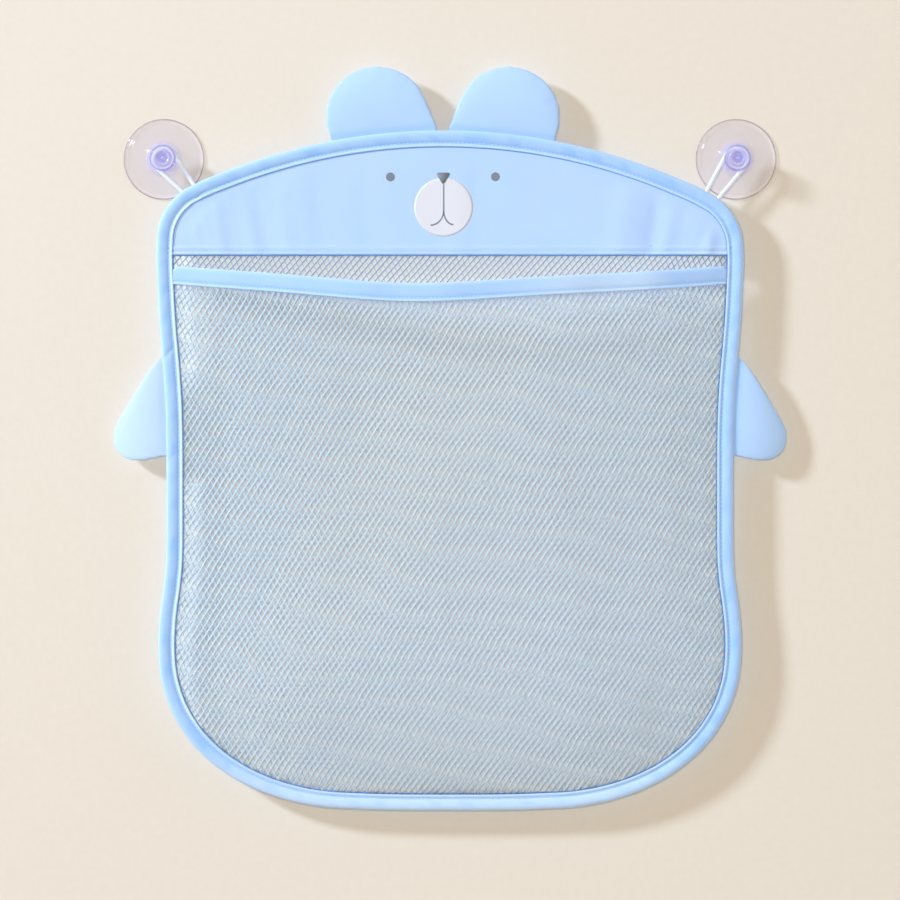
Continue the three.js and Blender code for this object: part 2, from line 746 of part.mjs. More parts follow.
function addBag() {
  const cloth = material(colours.cloth, 0.75);
  const net = material(colours.net, 0.6);
  const steel = material(colours.steel, 0.35, 1);
  addMesh('edge_binding', edgeBinding(), cloth);
  addMesh('stiffener_hoop', stiffenerHoop(), steel);
  const sleeve = addMesh('hoop_ferrule', hoopSleeve(), steel.clone());
  sleeve.position.copy(place(0, 0, -baseDrop + wireInset));
  sleeve.rotation.z = Math.PI / 2;
  const panel = addMesh('head_panel', headPanel(), cloth.clone());
  panel.position.y = -(frameStandoff + layerGap / 2);
  addMesh('rear_net', rearNet(), net);
  addMesh('pocket_net', pocketNet(), net.clone());
  addMesh('pocket_hem', pocketHem(), cloth.clone());
}

addBag();
addEar('ear_left', -1);
addEar('ear_right', 1);
addPaw('paw_left', -1);
addPaw('paw_right', 1);
addHanger('left', -1);
addHanger('right', 1);

export default bag;
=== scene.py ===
# %% [markdown]
# # A net bag for the bathroom, dressed over its frame
# The bag is a folded cloth tape round a wire hoop, with a cloth head panel, two nets, padded ears
# and paws, and two cord loops on suction cups. The solids that carry all of it come ready made,
# as a fixed frame. This lesson builds the cloth, the yarn and the clear vinyl that the eye sees.

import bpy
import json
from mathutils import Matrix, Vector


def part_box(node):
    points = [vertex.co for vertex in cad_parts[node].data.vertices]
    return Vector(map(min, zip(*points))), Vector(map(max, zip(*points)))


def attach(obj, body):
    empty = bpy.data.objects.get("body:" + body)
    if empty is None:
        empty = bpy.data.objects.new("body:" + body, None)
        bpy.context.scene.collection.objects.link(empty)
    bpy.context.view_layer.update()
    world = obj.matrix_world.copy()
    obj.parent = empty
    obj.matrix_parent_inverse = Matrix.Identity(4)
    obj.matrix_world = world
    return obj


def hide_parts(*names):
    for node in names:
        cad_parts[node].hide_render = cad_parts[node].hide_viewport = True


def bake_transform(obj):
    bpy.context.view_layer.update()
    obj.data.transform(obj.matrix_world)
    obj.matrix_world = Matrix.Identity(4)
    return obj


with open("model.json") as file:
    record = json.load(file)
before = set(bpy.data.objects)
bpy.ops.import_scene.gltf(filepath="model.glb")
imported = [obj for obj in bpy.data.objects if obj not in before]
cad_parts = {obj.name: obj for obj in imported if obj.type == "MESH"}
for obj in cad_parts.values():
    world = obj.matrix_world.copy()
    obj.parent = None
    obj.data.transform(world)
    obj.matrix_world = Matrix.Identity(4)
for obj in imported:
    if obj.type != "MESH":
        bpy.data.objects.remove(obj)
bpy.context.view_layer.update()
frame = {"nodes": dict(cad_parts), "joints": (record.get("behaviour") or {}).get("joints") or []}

# %% [markdown]
# ## Tools and units
# Blender measures in metres and a maker in millimetres, so each size below is a number times MM.
# The frame also says where the ears, the paws, the loops and the cups turn, and its joints are
# kept by name for the pieces that need them.

# %% Other tools
import json
import math
import random

import bmesh
import bpy
import numpy as np
from mathutils import Matrix, Vector, kdtree

MM = 0.001
joints = {joint["name"]: joint for joint in frame["joints"]}
print("joints:", ", ".join(joints))

# %% [markdown]
# ## The camera
# The picture is square and looks straight at the wall. A long lens from almost three metres keeps
# the bag's two sides parallel. The width that the picture spans is measured in the plane of the
# edge binding, because that is the outline that has to fit.

# %% Camera
PICTURE_WIDTH = 500 * MM
PICTURE_CENTRE = (0, -162.07 * MM)
LENS = 200
SENSOR = 36

binding_low, binding_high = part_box("edge_binding")
STANDOFF = -(binding_low.y + binding_high.y) / 2


def make_camera():
    data = bpy.data.cameras.new("camera")
    data.lens = LENS
    data.sensor_width = SENSOR
    camera = bpy.data.objects.new("camera", data)
    distance = PICTURE_WIDTH * LENS / SENSOR
    camera.location = (PICTURE_CENTRE[0], -STANDOFF - distance, PICTURE_CENTRE[1])
    camera.rotation_euler = (math.radians(90), 0, 0)
    bpy.context.scene.collection.objects.link(camera)
    bpy.context.scene.camera = camera
    return distance


print("camera at", round(make_camera(), 3), "m from the bag")

# %% [markdown]
# ## Helpers for meshes
# Most of this bag is a strip of cloth that follows a line. A strip is easiest as a flat grid that
# is then bent: every corner of the grid knows how far along and how far across it lies, and one
# function says where that corner goes. Its UV map keeps real metres, so that a weave drawn on it
# has its real size everywhere.

# %% Pieces and their corners
def new_piece(name, mesh, *materials):
    for material in materials:
        mesh.materials.append(material)
    piece = bpy.data.objects.new(name, mesh)
    bpy.context.scene.collection.objects.link(piece)
    return piece


def mesh_from(bm, name, smooth=True):
    for face in bm.faces:
        face.smooth = smooth
    mesh = bpy.data.meshes.new(name)
    bm.to_mesh(mesh)
    bm.free()
    return mesh


def corners_of(mesh):
    values = np.empty(len(mesh.vertices) * 3)
    mesh.vertices.foreach_get("co", values)
    return values.reshape(-1, 3)


def set_corners(mesh, places):
    mesh.vertices.foreach_set("co", np.ascontiguousarray(places).ravel())
    mesh.update()


def mark(mesh, name, amounts):
    """Writes a number from 0 to 1 on each corner, for a material to read."""
    values = np.ascontiguousarray(np.broadcast_to(amounts, len(mesh.vertices)), dtype=np.float32)
    mesh.attributes.new(name, "FLOAT", "POINT").data.foreach_set("value", values)


def thicken(piece, thickness, offset=0.0):
    """Gives a sheet its thickness, half to each side, or with an offset of -1 all to its back."""
    sheet = piece.modifiers.new("thickness", "SOLIDIFY")
    sheet.thickness = thickness
    sheet.offset = offset


print("the frame's binding has", len(corners_of(frame["nodes"]["edge_binding"].data)), "corners")

# %% A bent strip
WELD = 1e-6


def bent_grid(name, steps, bend, size=(1.0, 1.0), fill_ends=False, marks=None):
    """A grid of steps[0] by steps[1] quads. bend(u, v) gives the place of each corner, with u and
    v from 0 to 1, and each of marks gives a number there for the material. Edges that meet are
    welded, and size is the strip's length and width in metres."""
    bm = bmesh.new()
    bm.loops.layers.uv.new("UVMap")
    bmesh.ops.create_grid(bm, x_segments=steps[0], y_segments=steps[1], size=0.5, calc_uvs=True)
    mesh = mesh_from(bm, name)
    u, v = corners_of(mesh)[:, :2].T + 0.5
    set_corners(mesh, bend(u, v))
    for mark_name, amount in (marks or {}).items():
        mark(mesh, mark_name, amount(u, v))
    uv = mesh.uv_layers["UVMap"].uv
    spread = np.empty(len(uv) * 2)
    uv.foreach_get("vector", spread)
    uv.foreach_set("vector", (spread.reshape(-1, 2) * size).ravel())
    bm = bmesh.new()
    bm.from_mesh(mesh)
    bmesh.ops.remove_doubles(bm, verts=bm.verts, dist=WELD)
    if fill_ends:
        bmesh.ops.holes_fill(bm, edges=[edge for edge in bm.edges if edge.is_boundary], sides=0)
    bmesh.ops.recalc_face_normals(bm, faces=bm.faces)
    bm.to_mesh(mesh)
    bm.free()
    return mesh


trial = bent_grid("trial_strip", (4, 2), lambda u, v: np.stack([u, 0 * u, v], axis=1))
print("a trial strip of 4 by 2 squares has", len(trial.vertices), "corners")
bpy.data.meshes.remove(trial)

# %% Places and waves
def smoothstep(value, low, high):
    share = np.clip((value - low) / (high - low), 0, 1)
    return share * share * (3 - 2 * share)


def in_the_bag(x, forward, z):
    """A place in the bag: across, into the room from the middle of the binding, and up."""
    x, forward, z = np.broadcast_arrays(x, forward, z)
    return np.stack([x, -(STANDOFF + forward), z], axis=1)


def waves(u, seed, count, lowest=5, highest=60):
    """A smooth, uneven wave round a closed line, from -1 to 1, the same at every run."""
    draw = random.Random(seed)
    total = np.zeros_like(u)
    for _ in range(count):
        turns = draw.randint(lowest, highest)
        total += np.sin(u * math.tau * turns + draw.uniform(0, math.tau)) / count**0.5
    return total


print("the binding's middle stands", round(STANDOFF / MM, 2), "mm off the wall")

# %% [markdown]
# ## The outline
# Everything is sewn to one outline. It is read from the frame's edge binding: the points of its
# middle plane that lie furthest out. A smooth closed curve through them gives as many points as a
# piece needs, each with the direction into the bag.

# %% Outline
def outline_points():
    points = corners_of(frame["nodes"]["edge_binding"].data)
    level = points[np.abs(points[:, 1] + STANDOFF) < 0.01 * MM][:, [0, 2]]
    level = np.unique(np.round(level, 6), axis=0)
    middle = (level.min(axis=0) + level.max(axis=0)) / 2
    away = np.linalg.norm(level - middle, axis=1)
    near = np.linalg.norm(level[:, None] - level[None], axis=2) < 1 * MM
    outer = level[[away[i] >= away[near[i]].max() for i in range(len(level))]]
    around = np.arctan2(outer[:, 1] - middle[1], outer[:, 0] - middle[0])
    return outer[np.argsort(around)]


def smooth_curve(points, count, closed=False):
    """Evenly spaced points on a smooth curve through the given ones."""
    run = np.vstack([points[-2:], points, points[:3]]) if closed else points
    gaps = np.linalg.norm(np.diff(run, axis=0), axis=1)
    knots = np.concatenate([[0], np.cumsum(gaps)])
    slopes = np.diff(run, axis=0) / gaps[:, None]
    before, after = gaps[:-1, None], gaps[1:, None]
    inner = (slopes[:-1] * after + slopes[1:] * before) / (before + after)
    tangents = np.vstack([slopes[:1], inner, slopes[-1:]])
    first, last = (knots[2], knots[-3]) if closed else (0, knots[-1])
    places = np.linspace(first, last, count, endpoint=not closed)
    k = np.clip(np.searchsorted(knots, places, side="right") - 1, 0, len(gaps) - 1)
    t, gap = ((places - knots[k]) / gaps[k])[:, None], gaps[k][:, None]
    start = (2 * t**3 - 3 * t**2 + 1) * run[k] + (t**3 - 2 * t**2 + t) * gap * tangents[k]
    end = (3 * t**2 - 2 * t**3) * run[k + 1] + (t**3 - t**2) * gap * tangents[k + 1]
    return start + end


OUTLINE_STEPS = 640
outline = smooth_curve(outline_points(), OUTLINE_STEPS, closed=True)
outline_length = np.linalg.norm(np.roll(outline, -1, axis=0) - outline, axis=1).sum()
print("the outline is", round(outline_length / MM), "mm long")

# %% [markdown]
# Every piece is placed by its inset, which is how far it lies inside the outline. These helpers
# give the place for an inset and the inset of a place, and how wide the bag is at a level.

# %% Measures from the outline
def left_of(along):
    """Unit directions a quarter turn to the left of the given ones."""
    along = along / np.linalg.norm(along, axis=1)[:, None]
    return np.stack([-along[:, 1], along[:, 0]], axis=1)


inward = left_of(np.roll(outline, -1, axis=0) - np.roll(outline, 1, axis=0))


def on_outline(u, inset):
    """Places on the outline, u of the way round it and an inset into the bag."""
    place = (u % 1) * OUTLINE_STEPS
    before = np.floor(place).astype(int)
    share = (place - before)[:, None]
    before %= OUTLINE_STEPS
    after = (before + 1) % OUTLINE_STEPS
    point = outline[before] * (1 - share) + outline[after] * share
    into = inward[before] * (1 - share) + inward[after] * share
    return point + into * np.reshape(inset, (-1, 1))


outline_tree = kdtree.KDTree(OUTLINE_STEPS)
for index, (x, z) in enumerate(outline):
    outline_tree.insert((x, 0, z), index)
outline_tree.balance()


def inset_of(x, z):
    """How far each place lies from the outline."""
    return np.array([outline_tree.find((a, 0, b))[2] for a, b in zip(x, z)])


def level_widths(inset):
    """Levels up the right side of the outline and its half width at each, to read between."""
    loop = outline + inward * inset
    lowest, highest = loop[:, 1].argmin(), loop[:, 1].argmax()
    order = (lowest + np.arange((highest - lowest) % OUTLINE_STEPS + 1)) % OUTLINE_STEPS
    return loop[order, 1], loop[order, 0]


def level_half(inset, z):
    """Half the width between the two sides of an inset outline, at a level."""
    return np.interp(z, *level_widths(inset))


def inside_outline(x, z, inset):
    """Counts how often a line to the right of each place crosses the inset outline."""
    loop = outline + inward * inset
    ahead = np.roll(loop, -1, axis=0)
    crossings = np.zeros(len(x), int)
    for (x0, z0), (x1, z1) in zip(loop, ahead):
        spans = (z0 > z) != (z1 > z)
        crossings += spans & (x < x0 + (x1 - x0) * (z - z0) / (z1 - z0 if z1 != z0 else 1))
    return crossings % 2 == 1


print("at half its height the bag is", round(2 * level_half(0, PICTURE_CENTRE[1]) / MM), "mm wide")

# %% [markdown]
# ## Helpers for materials
# Colours are written as they look on a screen, in hex, and one function turns them into the
# linear values that the shader works with. Another adds a node, sets it up and links it, so that
# each material below reads as a short recipe.

# %% Material helpers
def hex_colour(code):
    parts = [int(code[i:i + 2], 16) / 255 for i in (1, 3, 5)]
    return (*[p / 12.92 if p <= 0.04045 else ((p + 0.055) / 1.055) ** 2.4 for p in parts], 1.0)


def add_node(owner, kind, inputs=None, **settings):
    """Adds a node to a material or the world. An input is a value, or the socket that feeds it."""
    tree = owner.node_tree
    made = tree.nodes.new("ShaderNode" + kind)
    for name, value in settings.items():
        setattr(made, name, value)
    for socket, value in (inputs or {}).items():
        if isinstance(value, bpy.types.NodeSocket):
            tree.links.new(value, made.inputs[socket])
        else:
            made.inputs[socket].default_value = value
    return made


def new_material(name):
    material = bpy.data.materials.new(name)
    material.use_nodes = True
    material.node_tree.nodes.clear()
    return material


def finish_material(material, shader):
    add_node(material, "OutputMaterial", {"Surface": shader.outputs[0]})
    return material


print("a mid grey on the screen is", round(hex_colour("#808080")[0], 3), "as light")

# %% [markdown]
# Three steps come back in most of the finishes: a colour that wanders a little, a second colour
# where the piece says so, and a fine grain. Each is a function that takes a real size, so that a
# reader can see in the recipe how large the patches are, and how deep the grain is.

# %% Steps of a finish
def uneven(material, place, size, detail, colour, other):
    """A colour that wanders to another one in patches of a real size."""
    patch = add_node(material, "TexNoise", {"Vector": place, "Scale": 1 / size, "Detail": detail})
    return add_node(material, "Mix", {0: patch.outputs["Fac"], 6: hex_colour(colour),
                                      7: hex_colour(other)}, data_type="RGBA").outputs[2]


def where_marked(material, mark_name, colour, there):
    """Mixes in another colour, by a number that the piece carries on its corners."""
    share = add_node(material, "Attribute", attribute_name=mark_name).outputs["Fac"]
    return add_node(material, "Mix", {0: share, 6: colour, 7: hex_colour(there)},
                    data_type="RGBA").outputs[2]


def grained(material, place, size, strength, depth, detail=2.0):
    """A relief of a real size and depth."""
    grain = add_node(material, "TexNoise", {"Vector": place, "Scale": 1 / size, "Detail": detail})
    return add_node(material, "Bump", {"Height": grain.outputs["Fac"], "Strength": strength,
                                       "Distance": depth}).outputs[0]


print("the camera shows", round(PICTURE_WIDTH / MM / 900, 2), "mm in each pixel")

# %% [markdown]
# ## Woven polyester
# The tape, the head panel, the ears and the paws are all plain-woven polyester with a soft,
# slightly satin face. The real threads lie about 0.2 mm apart, far finer than a pixel, so the
# weave is drawn at 0.6 mm to show at all. Two sets of fine bands, crossed, raise it. A slow noise
# makes the dye a little uneven, as it is on cheap cloth, and sheen lights the edges where the
# fibres stand up. Two more colours are painted light and shade: a deeper blue where the cloth
# dives into a seam or lies in a fold, as painted shade for the light that bounces from blue to
# blue there, and a paler blue along lips and edges and on a few other places, as painted light.
# Each piece carries a "fold" number for the painted shade and an "edge" number for the painted
# light, and the dye is mixed by them.

# %% Cloth materials
WEAVE = 0.6 * MM
DYE_PATCH = 28 * MM
# Painted light: the paler blue laid on where a piece's "edge" number says.
PAINTED_LIGHT_BLUE = "#E6F3FF"
WAVE_PERIOD = math.tau / 20  # a wave texture of scale 1 repeats after this length


def woven_polyester(name, colour, shade, deep, coordinates="Object"):
    """colour and shade are the dye and its uneven patches; deep is the painted shade."""
    material = new_material(name)
    place = add_node(material, "TexCoord").outputs[coordinates]
    threads = [add_node(material, "TexWave", {"Vector": place, "Scale": WAVE_PERIOD / WEAVE,
                                              "Distortion": 0.4}, bands_direction=way)
               for way in ("X", "Y" if coordinates == "UV" else "Z")]
    warp, weft = [thread.outputs["Fac"] for thread in threads]
    weave = add_node(material, "Math", {0: warp, 1: weft}, operation="MAXIMUM")
    bump = add_node(material, "Bump", {"Height": weave.outputs[0], "Strength": 0.12,
                                       "Distance": 0.08 * MM})
    dye_with_painted_light = uneven(material, place, DYE_PATCH, 3.0, colour, shade)
    # Painted shade by the piece's "fold" number, painted light by its "edge" number.
    dye_with_painted_light = where_marked(material, "fold", dye_with_painted_light, deep)
    dye_with_painted_light = where_marked(material, "edge", dye_with_painted_light, PAINTED_LIGHT_BLUE)
    shader = add_node(material, "BsdfPrincipled", {
        "Base Color": dye_with_painted_light, "Roughness": 0.72, "Sheen Weight": 0.15, "Sheen Roughness": 0.4,
        "Specular IOR Level": 0.35, "Subsurface Weight": 0.3,
        "Subsurface Radius": (1.0, 1.0, 1.0), "Subsurface Scale": 0.5 * MM,
        "Normal": bump.outputs[0]})
    return finish_material(material, shader)


# The tape is double, so it looks deeper than the single cloth of the panel. It is woven along its
# own length, which its UV map follows. The pads are the panel's cloth, a shade deeper.
# The last colour of each cloth is its painted shade, for seams and folds.
tape_cloth = woven_polyester("woven_polyester_tape", "#B2D3FF", "#A7CDFF", "#74B2FF", "UV")
panel_cloth = woven_polyester("woven_polyester_panel", "#BFD8FF", "#B5D2FF", "#66A9F2")
pad_cloth = woven_polyester("woven_polyester_pads", "#BCD9FF", "#B3D3FF", "#78B4FF")
print("cloth:", tape_cloth.name, panel_cloth.name, pad_cloth.name)

# %% [markdown]
# ## Yarn and sewing thread
# The nets are warp-knitted polyester yarn, paler than the cloth and a little shiny. One set of
# threads is stouter than the one that crosses it, and the two don't catch the light alike, so
# each net has two yarns, whose tones differ by painted light and shade. The rear net hangs in
# the shade of the front one, so its yarns are greyer copies of the same yarn: painted shade. The
# sewing thread is spun polyester, which is duller. All of them let light through, so some of
# their colour comes from inside (subsurface). Each yarn's deep colour is painted shade, laid on
# where a net's "fold" number says.

# %% Yarn and thread
YARN_FLECK = 2.5 * MM


def yarn(name, colour, shade, deep, roughness):
    material = new_material(name)
    place = add_node(material, "TexCoord").outputs["Object"]
    mixed = uneven(material, place, YARN_FLECK, 2.0, colour, shade)
    # deep is painted shade, laid on where the net's "fold" number says.
    shader = add_node(material, "BsdfPrincipled", {
        "Base Color": where_marked(material, "fold", mixed, deep), "Roughness": roughness,
        "Sheen Weight": 0.1, "Subsurface Weight": 0.7, "Subsurface Radius": (1.0, 1.0, 1.0),
        "Subsurface Scale": 0.4 * MM})
    return finish_material(material, shader)


# Each net's second yarn, and the greyer rear yarns, are the same yarn: painted light and shade.
pocket_yarns = (yarn("knitted_polyester_yarn", "#E2F9FF", "#D4F1FF", "#5E97D8", 0.45),
                yarn("knitted_polyester_yarn_thin", "#CEECFF", "#C2E4FC", "#5E97D8", 0.5))
rear_yarns_painted_shade = (yarn("knitted_polyester_yarn_rear", "#BBC8DA", "#B0C0D6", "#83A7C2", 0.5),
              yarn("knitted_polyester_yarn_rear_thin", "#C0CCDC", "#B8C6DA", "#BACEDF", 0.5))
sewing_thread = yarn("spun_polyester_thread", "#C0DAFF", "#B0D2FF", "#94C4FA", 0.65)
print("yarns:", len(pocket_yarns + rear_yarns_painted_shade), "and", sewing_thread.name)

# %% [markdown]
# ## Printed inks
# The face is screen printed: the ink is pressed through a fine mesh and dries as a flat, even
# film with a faint grain. A soft highlight and one plain colour are all that the eye gets from
# it.

# %% Printed inks
INK_GRAIN = 0.6 * MM


def ink(name, colour, roughness):
    material = new_material(name)
    place = add_node(material, "TexCoord").outputs["Object"]
    shader = add_node(material, "BsdfPrincipled", {
        "Base Color": hex_colour(colour), "Roughness": roughness,
        "Normal": grained(material, place, INK_GRAIN, 0.1, 0.03 * MM)})
    return finish_material(material, shader)


grey_ink = ink("screen_print_grey", "#7A858E", 0.5)
white_ink = ink("screen_print_white", "#DEDFE6", 0.6)
print("inks:", grey_ink.name, white_ink.name)

# %% [markdown]
# ## Clear vinyl
# The suction cups are clear soft PVC, which shows the wall through it with a faint violet cast,
# and its thick knob looks violet. Glass with real refraction would be one way, but in a thin disc
# it only costs time. A see-through surface with a gloss gives the same picture: rings round the
# axis say how much colour each thickness takes, and the moulding's slow waves move the
# highlights. A few whitish rings, on the disc's bead and on the knob, are painted highlights.
# The loops are the same vinyl, milky and nearly opaque.

# %% Vinyl
CUP_RADIUS = 22.5 * MM
MOULDING_WAVE = 9 * MM


def clear_vinyl(name, rings, roughness):
    """rings are bands round the cup's axis, from the middle out: a radius, a colour, an alpha."""
    material = new_material(name)
    spread = add_node(material, "Attribute", attribute_name="spread").outputs["Fac"]
    tint = add_node(material, "ValToRGB", {"Fac": spread})
    stops = tint.color_ramp.elements
    stops.remove(stops[1])
    for number, (radius, colour, alpha) in enumerate(rings):
        stop = stops.new(radius * MM / CUP_RADIUS) if number else stops[0]
        stop.color = (*hex_colour(colour)[:3], alpha)
    place = add_node(material, "TexCoord").outputs["Object"]
    shader = add_node(material, "BsdfPrincipled", {
        "Base Color": tint.outputs["Color"], "Alpha": tint.outputs["Alpha"],
        "Roughness": roughness, "IOR": 1.53, "Coat Weight": 0.3, "Coat Roughness": 0.05,
        "Normal": grained(material, place, MOULDING_WAVE, 0.2, 0.2 * MM, detail=1.0)})
    return finish_material(material, shader)


# Whitish rings, at 20.6 and 21.3 mm on the disc, 0 and 5.7 mm on the knob: painted highlights.
DISC_TINT_AND_HIGHLIGHTS = [(0, "#A8A6F0", 0.2), (7.5, "#B4B0F2", 0.2), (9.2, "#CBC4F4", 0.2),
              (10.6, "#ABA6D2", 0.08), (19.6, "#A9A4D2", 0.07), (20.6, "#E9E2F0", 0.12),
              (21.3, "#F4EEF4", 0.18), (21.8, "#D9CED8", 0.26), (22.2, "#A3919F", 0.42),
              (22.5, "#9A8896", 0.42)]
KNOB_TINT_AND_HIGHLIGHTS = [(0, "#D8D8FF", 0.3), (0.7, "#9A9CF0", 0.5), (1.2, "#8688E6", 0.66),
              (2.7, "#8C8BE6", 0.6), (3.4, "#C4C0F6", 0.34), (5.2, "#CCC7F8", 0.3),
              (5.7, "#F4F2FF", 0.38), (6.2, "#C0BBF4", 0.34), (6.8, "#A49FEA", 0.44),
              (7.4, "#B0ABEE", 0.34)]
cup_vinyl = clear_vinyl("clear_soft_vinyl", DISC_TINT_AND_HIGHLIGHTS, 0.1)
knob_vinyl = clear_vinyl("clear_soft_vinyl_knob", KNOB_TINT_AND_HIGHLIGHTS, 0.08)
cord_vinyl = clear_vinyl("milky_vinyl_cord", [(0, "#EDF2FF", 0.92)], 0.2)
print("vinyl:", cup_vinyl.name, knob_vinyl.name, cord_vinyl.name)

# %% [markdown]
# ## The hoop
# A wire hoop in the binding's fold keeps the bag open. Nobody sees it, so the frame's own hoop
# and ferrule stay as they are and only get their finish: spring steel, drawn through a die, which
# leaves it grey and bright with fine scratches.

# %% Steel
DRAWN_GRAIN = 0.5 * MM


def metal(name, colour, roughness):
    material = new_material(name)
    place = add_node(material, "TexCoord").outputs["Object"]
    shader = add_node(material, "BsdfPrincipled", {
        "Base Color": hex_colour(colour), "Metallic": 1.0, "Roughness": roughness,
        "Normal": grained(material, place, DRAWN_GRAIN, 0.1, 0.02 * MM)})
    return finish_material(material, shader)


spring_steel = metal("drawn_spring_steel", "#B9BCC0", 0.35)
for node_name in ("stiffener_hoop", "hoop_ferrule"):
    frame["nodes"][node_name].data.materials.clear()
    frame["nodes"][node_name].data.materials.append(spring_steel)
print("materials:", len(bpy.data.materials))

# %% [markdown]
# ## The cord loops
# Each loop is one length of cord, sewn into the binding at both ends, that runs round the neck of
# its suction cup. Its line is two straight legs and an arc. The tube is a grid rolled round that
# line.

# %% The line of a loop
CORD_DIAMETER = 2.5 * MM
LOOP_BEND_RADIUS = 6.2 * MM
LOOP_ROOT_SPACING = 8 * MM
LOOP_TAIL = 3.2 * MM  # how far each end reaches into the binding
NECK_RADIUS = 3.5 * MM  # of the suction cup
FIT_GAP = 0.3 * MM
ARC_POINTS = 33
LEG_POINTS = 12


def flat_vector(place):
    return np.array([place[0], place[2]])


def loop_line(side_name):
    """Two legs and an arc round the neck, with the loop's root and its way out of the bag."""
    root = flat_vector(joints[f"loop_{side_name}_swing"]["pos_m"])
    axis = flat_vector(joints[f"loop_{side_name}_swing"]["axis"])
    neck = flat_vector(joints[f"cup_{side_name}_spin"]["pos_m"])
    away = (neck - root) / np.linalg.norm(neck - root)
    centre = neck - away * (LOOP_BEND_RADIUS - NECK_RADIUS - FIT_GAP - CORD_DIAMETER / 2)
    turn = 1 if axis[0] * away[1] - axis[1] * away[0] > 0 else -1
    ends = []
    for sign in (1, -1):
        foot = root + axis * sign * LOOP_ROOT_SPACING / 2
        reach = foot - centre
        tilt = math.acos(LOOP_BEND_RADIUS / np.linalg.norm(reach))
        ends.append((foot, math.atan2(reach[1], reach[0]) + turn * sign * tilt))
    (first_foot, start), (last_foot, end) = ends
    sweep = (end - start) % math.tau if turn > 0 else -((start - end) % math.tau)
    angles = start + sweep * np.linspace(0, 1, ARC_POINTS)
    arc = centre + LOOP_BEND_RADIUS * np.stack([np.cos(angles), np.sin(angles)], axis=1)
    legs = []
    for foot, touch in ((first_foot, arc[0]), (last_foot, arc[-1])):
        outward = (touch - foot) / np.linalg.norm(touch - foot)
        legs.append(np.linspace(foot - outward * LOOP_TAIL, touch, LEG_POINTS, endpoint=False))
    return np.concatenate([legs[0], arc, legs[1][::-1]]), root, away


print("the left loop's line has", len(loop_line("left")[0]), "points")

# %% Cord loops
CORD_STEPS = 120
CORD_SIDES = 16


def reach_along(line):
    """How far along the line each of its points lies, in metres."""
    return np.concatenate([[0], np.cumsum(np.linalg.norm(np.diff(line, axis=0), axis=1))])


def along_line(line, u):
    reach = reach_along(line)
    return np.stack([np.interp(u * reach[-1], reach, line[:, k]) for k in (0, 1)], axis=1)


def beside_line(line, u, step):
    """The direction to the left of the line, from the places a step behind and ahead."""
    ahead, behind = [along_line(line, np.clip(u + way, 0, 1)) for way in (step, -step)]
    return left_of(ahead - behind)


def cord_loop(side_name):
    line, root, away = loop_line(side_name)
    length = reach_along(line)[-1]

    def bend(u, v):
        across = np.cos(v * math.tau) * CORD_DIAMETER / 2
        side = along_line(line, u) + beside_line(line, u, 0.5 / CORD_STEPS) * across[:, None]
        return in_the_bag(side[:, 0], np.sin(v * math.tau) * CORD_DIAMETER / 2, side[:, 1])

    mesh = bent_grid(f"loop_cord_{side_name}", (CORD_STEPS, CORD_SIDES), bend,
                     size=(length, math.pi * CORD_DIAMETER), fill_ends=True)
    piece = new_piece(f"loop_cord_{side_name}", mesh, cord_vinyl)
    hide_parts(f"cord_loop_{side_name}")
    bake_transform(piece)
    path = [tuple(p) for p in in_the_bag(line[:, 0], 0, line[:, 1])]
    return length


for side_name in ("left", "right"):
    print("loop", side_name, "is", round(cord_loop(side_name) / MM, 1), "mm of cord")

# %% [markdown]
# ## The edge binding
# A binding is a tape folded over the edge and topstitched near its two free lips. The wire hoop
# in the fold makes the outer part puffy, the stitches pull a groove, and the lip inside the
# groove stands up a little. One closed section holds all of that. It is carried round the
# outline, with a small dimple at each stitch and slow puckers that make the tape look sewn by
# hand.

# %% Binding section
# Inset from the outline and rise from the middle plane, in millimetres, for the front half: first
# the face that shows, then the tape's own thickness, on the inside of the fold.
BINDING_FACE = [(0.0, 0.0), (0.06, 0.55), (0.25, 1.1), (0.7, 1.62), (1.4, 2.0), (2.3, 2.22),
                (3.2, 2.25), (4.1, 2.14), (5.0, 1.93), (5.7, 1.68), (6.2, 1.44), (6.55, 1.24),
                (6.8, 1.16), (7.05, 1.24), (7.45, 1.5), (7.9, 1.74), (8.35, 1.85), (8.75, 1.8),
                (8.98, 1.64), (9.05, 1.42)]
BINDING_INSIDE = [(8.95, 1.36), (8.3, 1.3), (7.6, 1.0), (7.0, 0.92), (6.4, 1.0), (5.6, 1.3),
                  (4.4, 1.7), (3.4, 1.85), (2.4, 1.85), (1.4, 1.6), (0.8, 0.95), (0.6, 0.0)]
BACK_LIP = 0.7  # the back lip reaches this much further in, so that one seam catches both
LIP_INSET = 9.05 * MM
STITCH_INSET = 6.8 * MM
STITCH_PITCH = 2.4 * MM
stitch_count = round(outline_length / STITCH_PITCH)


def closed_section():
    """The front half and its mirror image, whose lip reaches further in."""
    front = BINDING_FACE + BINDING_INSIDE
    back = [(inset + BACK_LIP * min(max(inset - 7, 0) / 2, 1), -rise)
            for inset, rise in front[1:-1]]
    return np.array(front + back[::-1]) * MM


def read_section(section, v):
    """The two measures of a closed section, v of the way round it."""
    wrapped = np.vstack([section, section[:1]])
    around = np.arange(len(wrapped)) / len(section)
    return np.interp(v, around, wrapped[:, 0]), np.interp(v, around, wrapped[:, 1])


binding_section = closed_section()
print("the binding's section has", len(binding_section), "corners; stitches to come:", stitch_count)

# %% [markdown]
# Three small things make the tape look sewn. Its surface puckers between the stitches, which is a
# sum of slow waves. Here and there it has a crease, which is a short valley. And a deeper blue is
# painted in the groove, in patches over the puffy part and inside the fold, as painted shade, and
# a paler blue on the lips, the outer rim and the lowest part, as painted light.

# %% Marks on the tape
def on_inner_face(v):
    return np.abs(v - 0.5) < (len(BINDING_INSIDE) - 0.5) / len(binding_section)


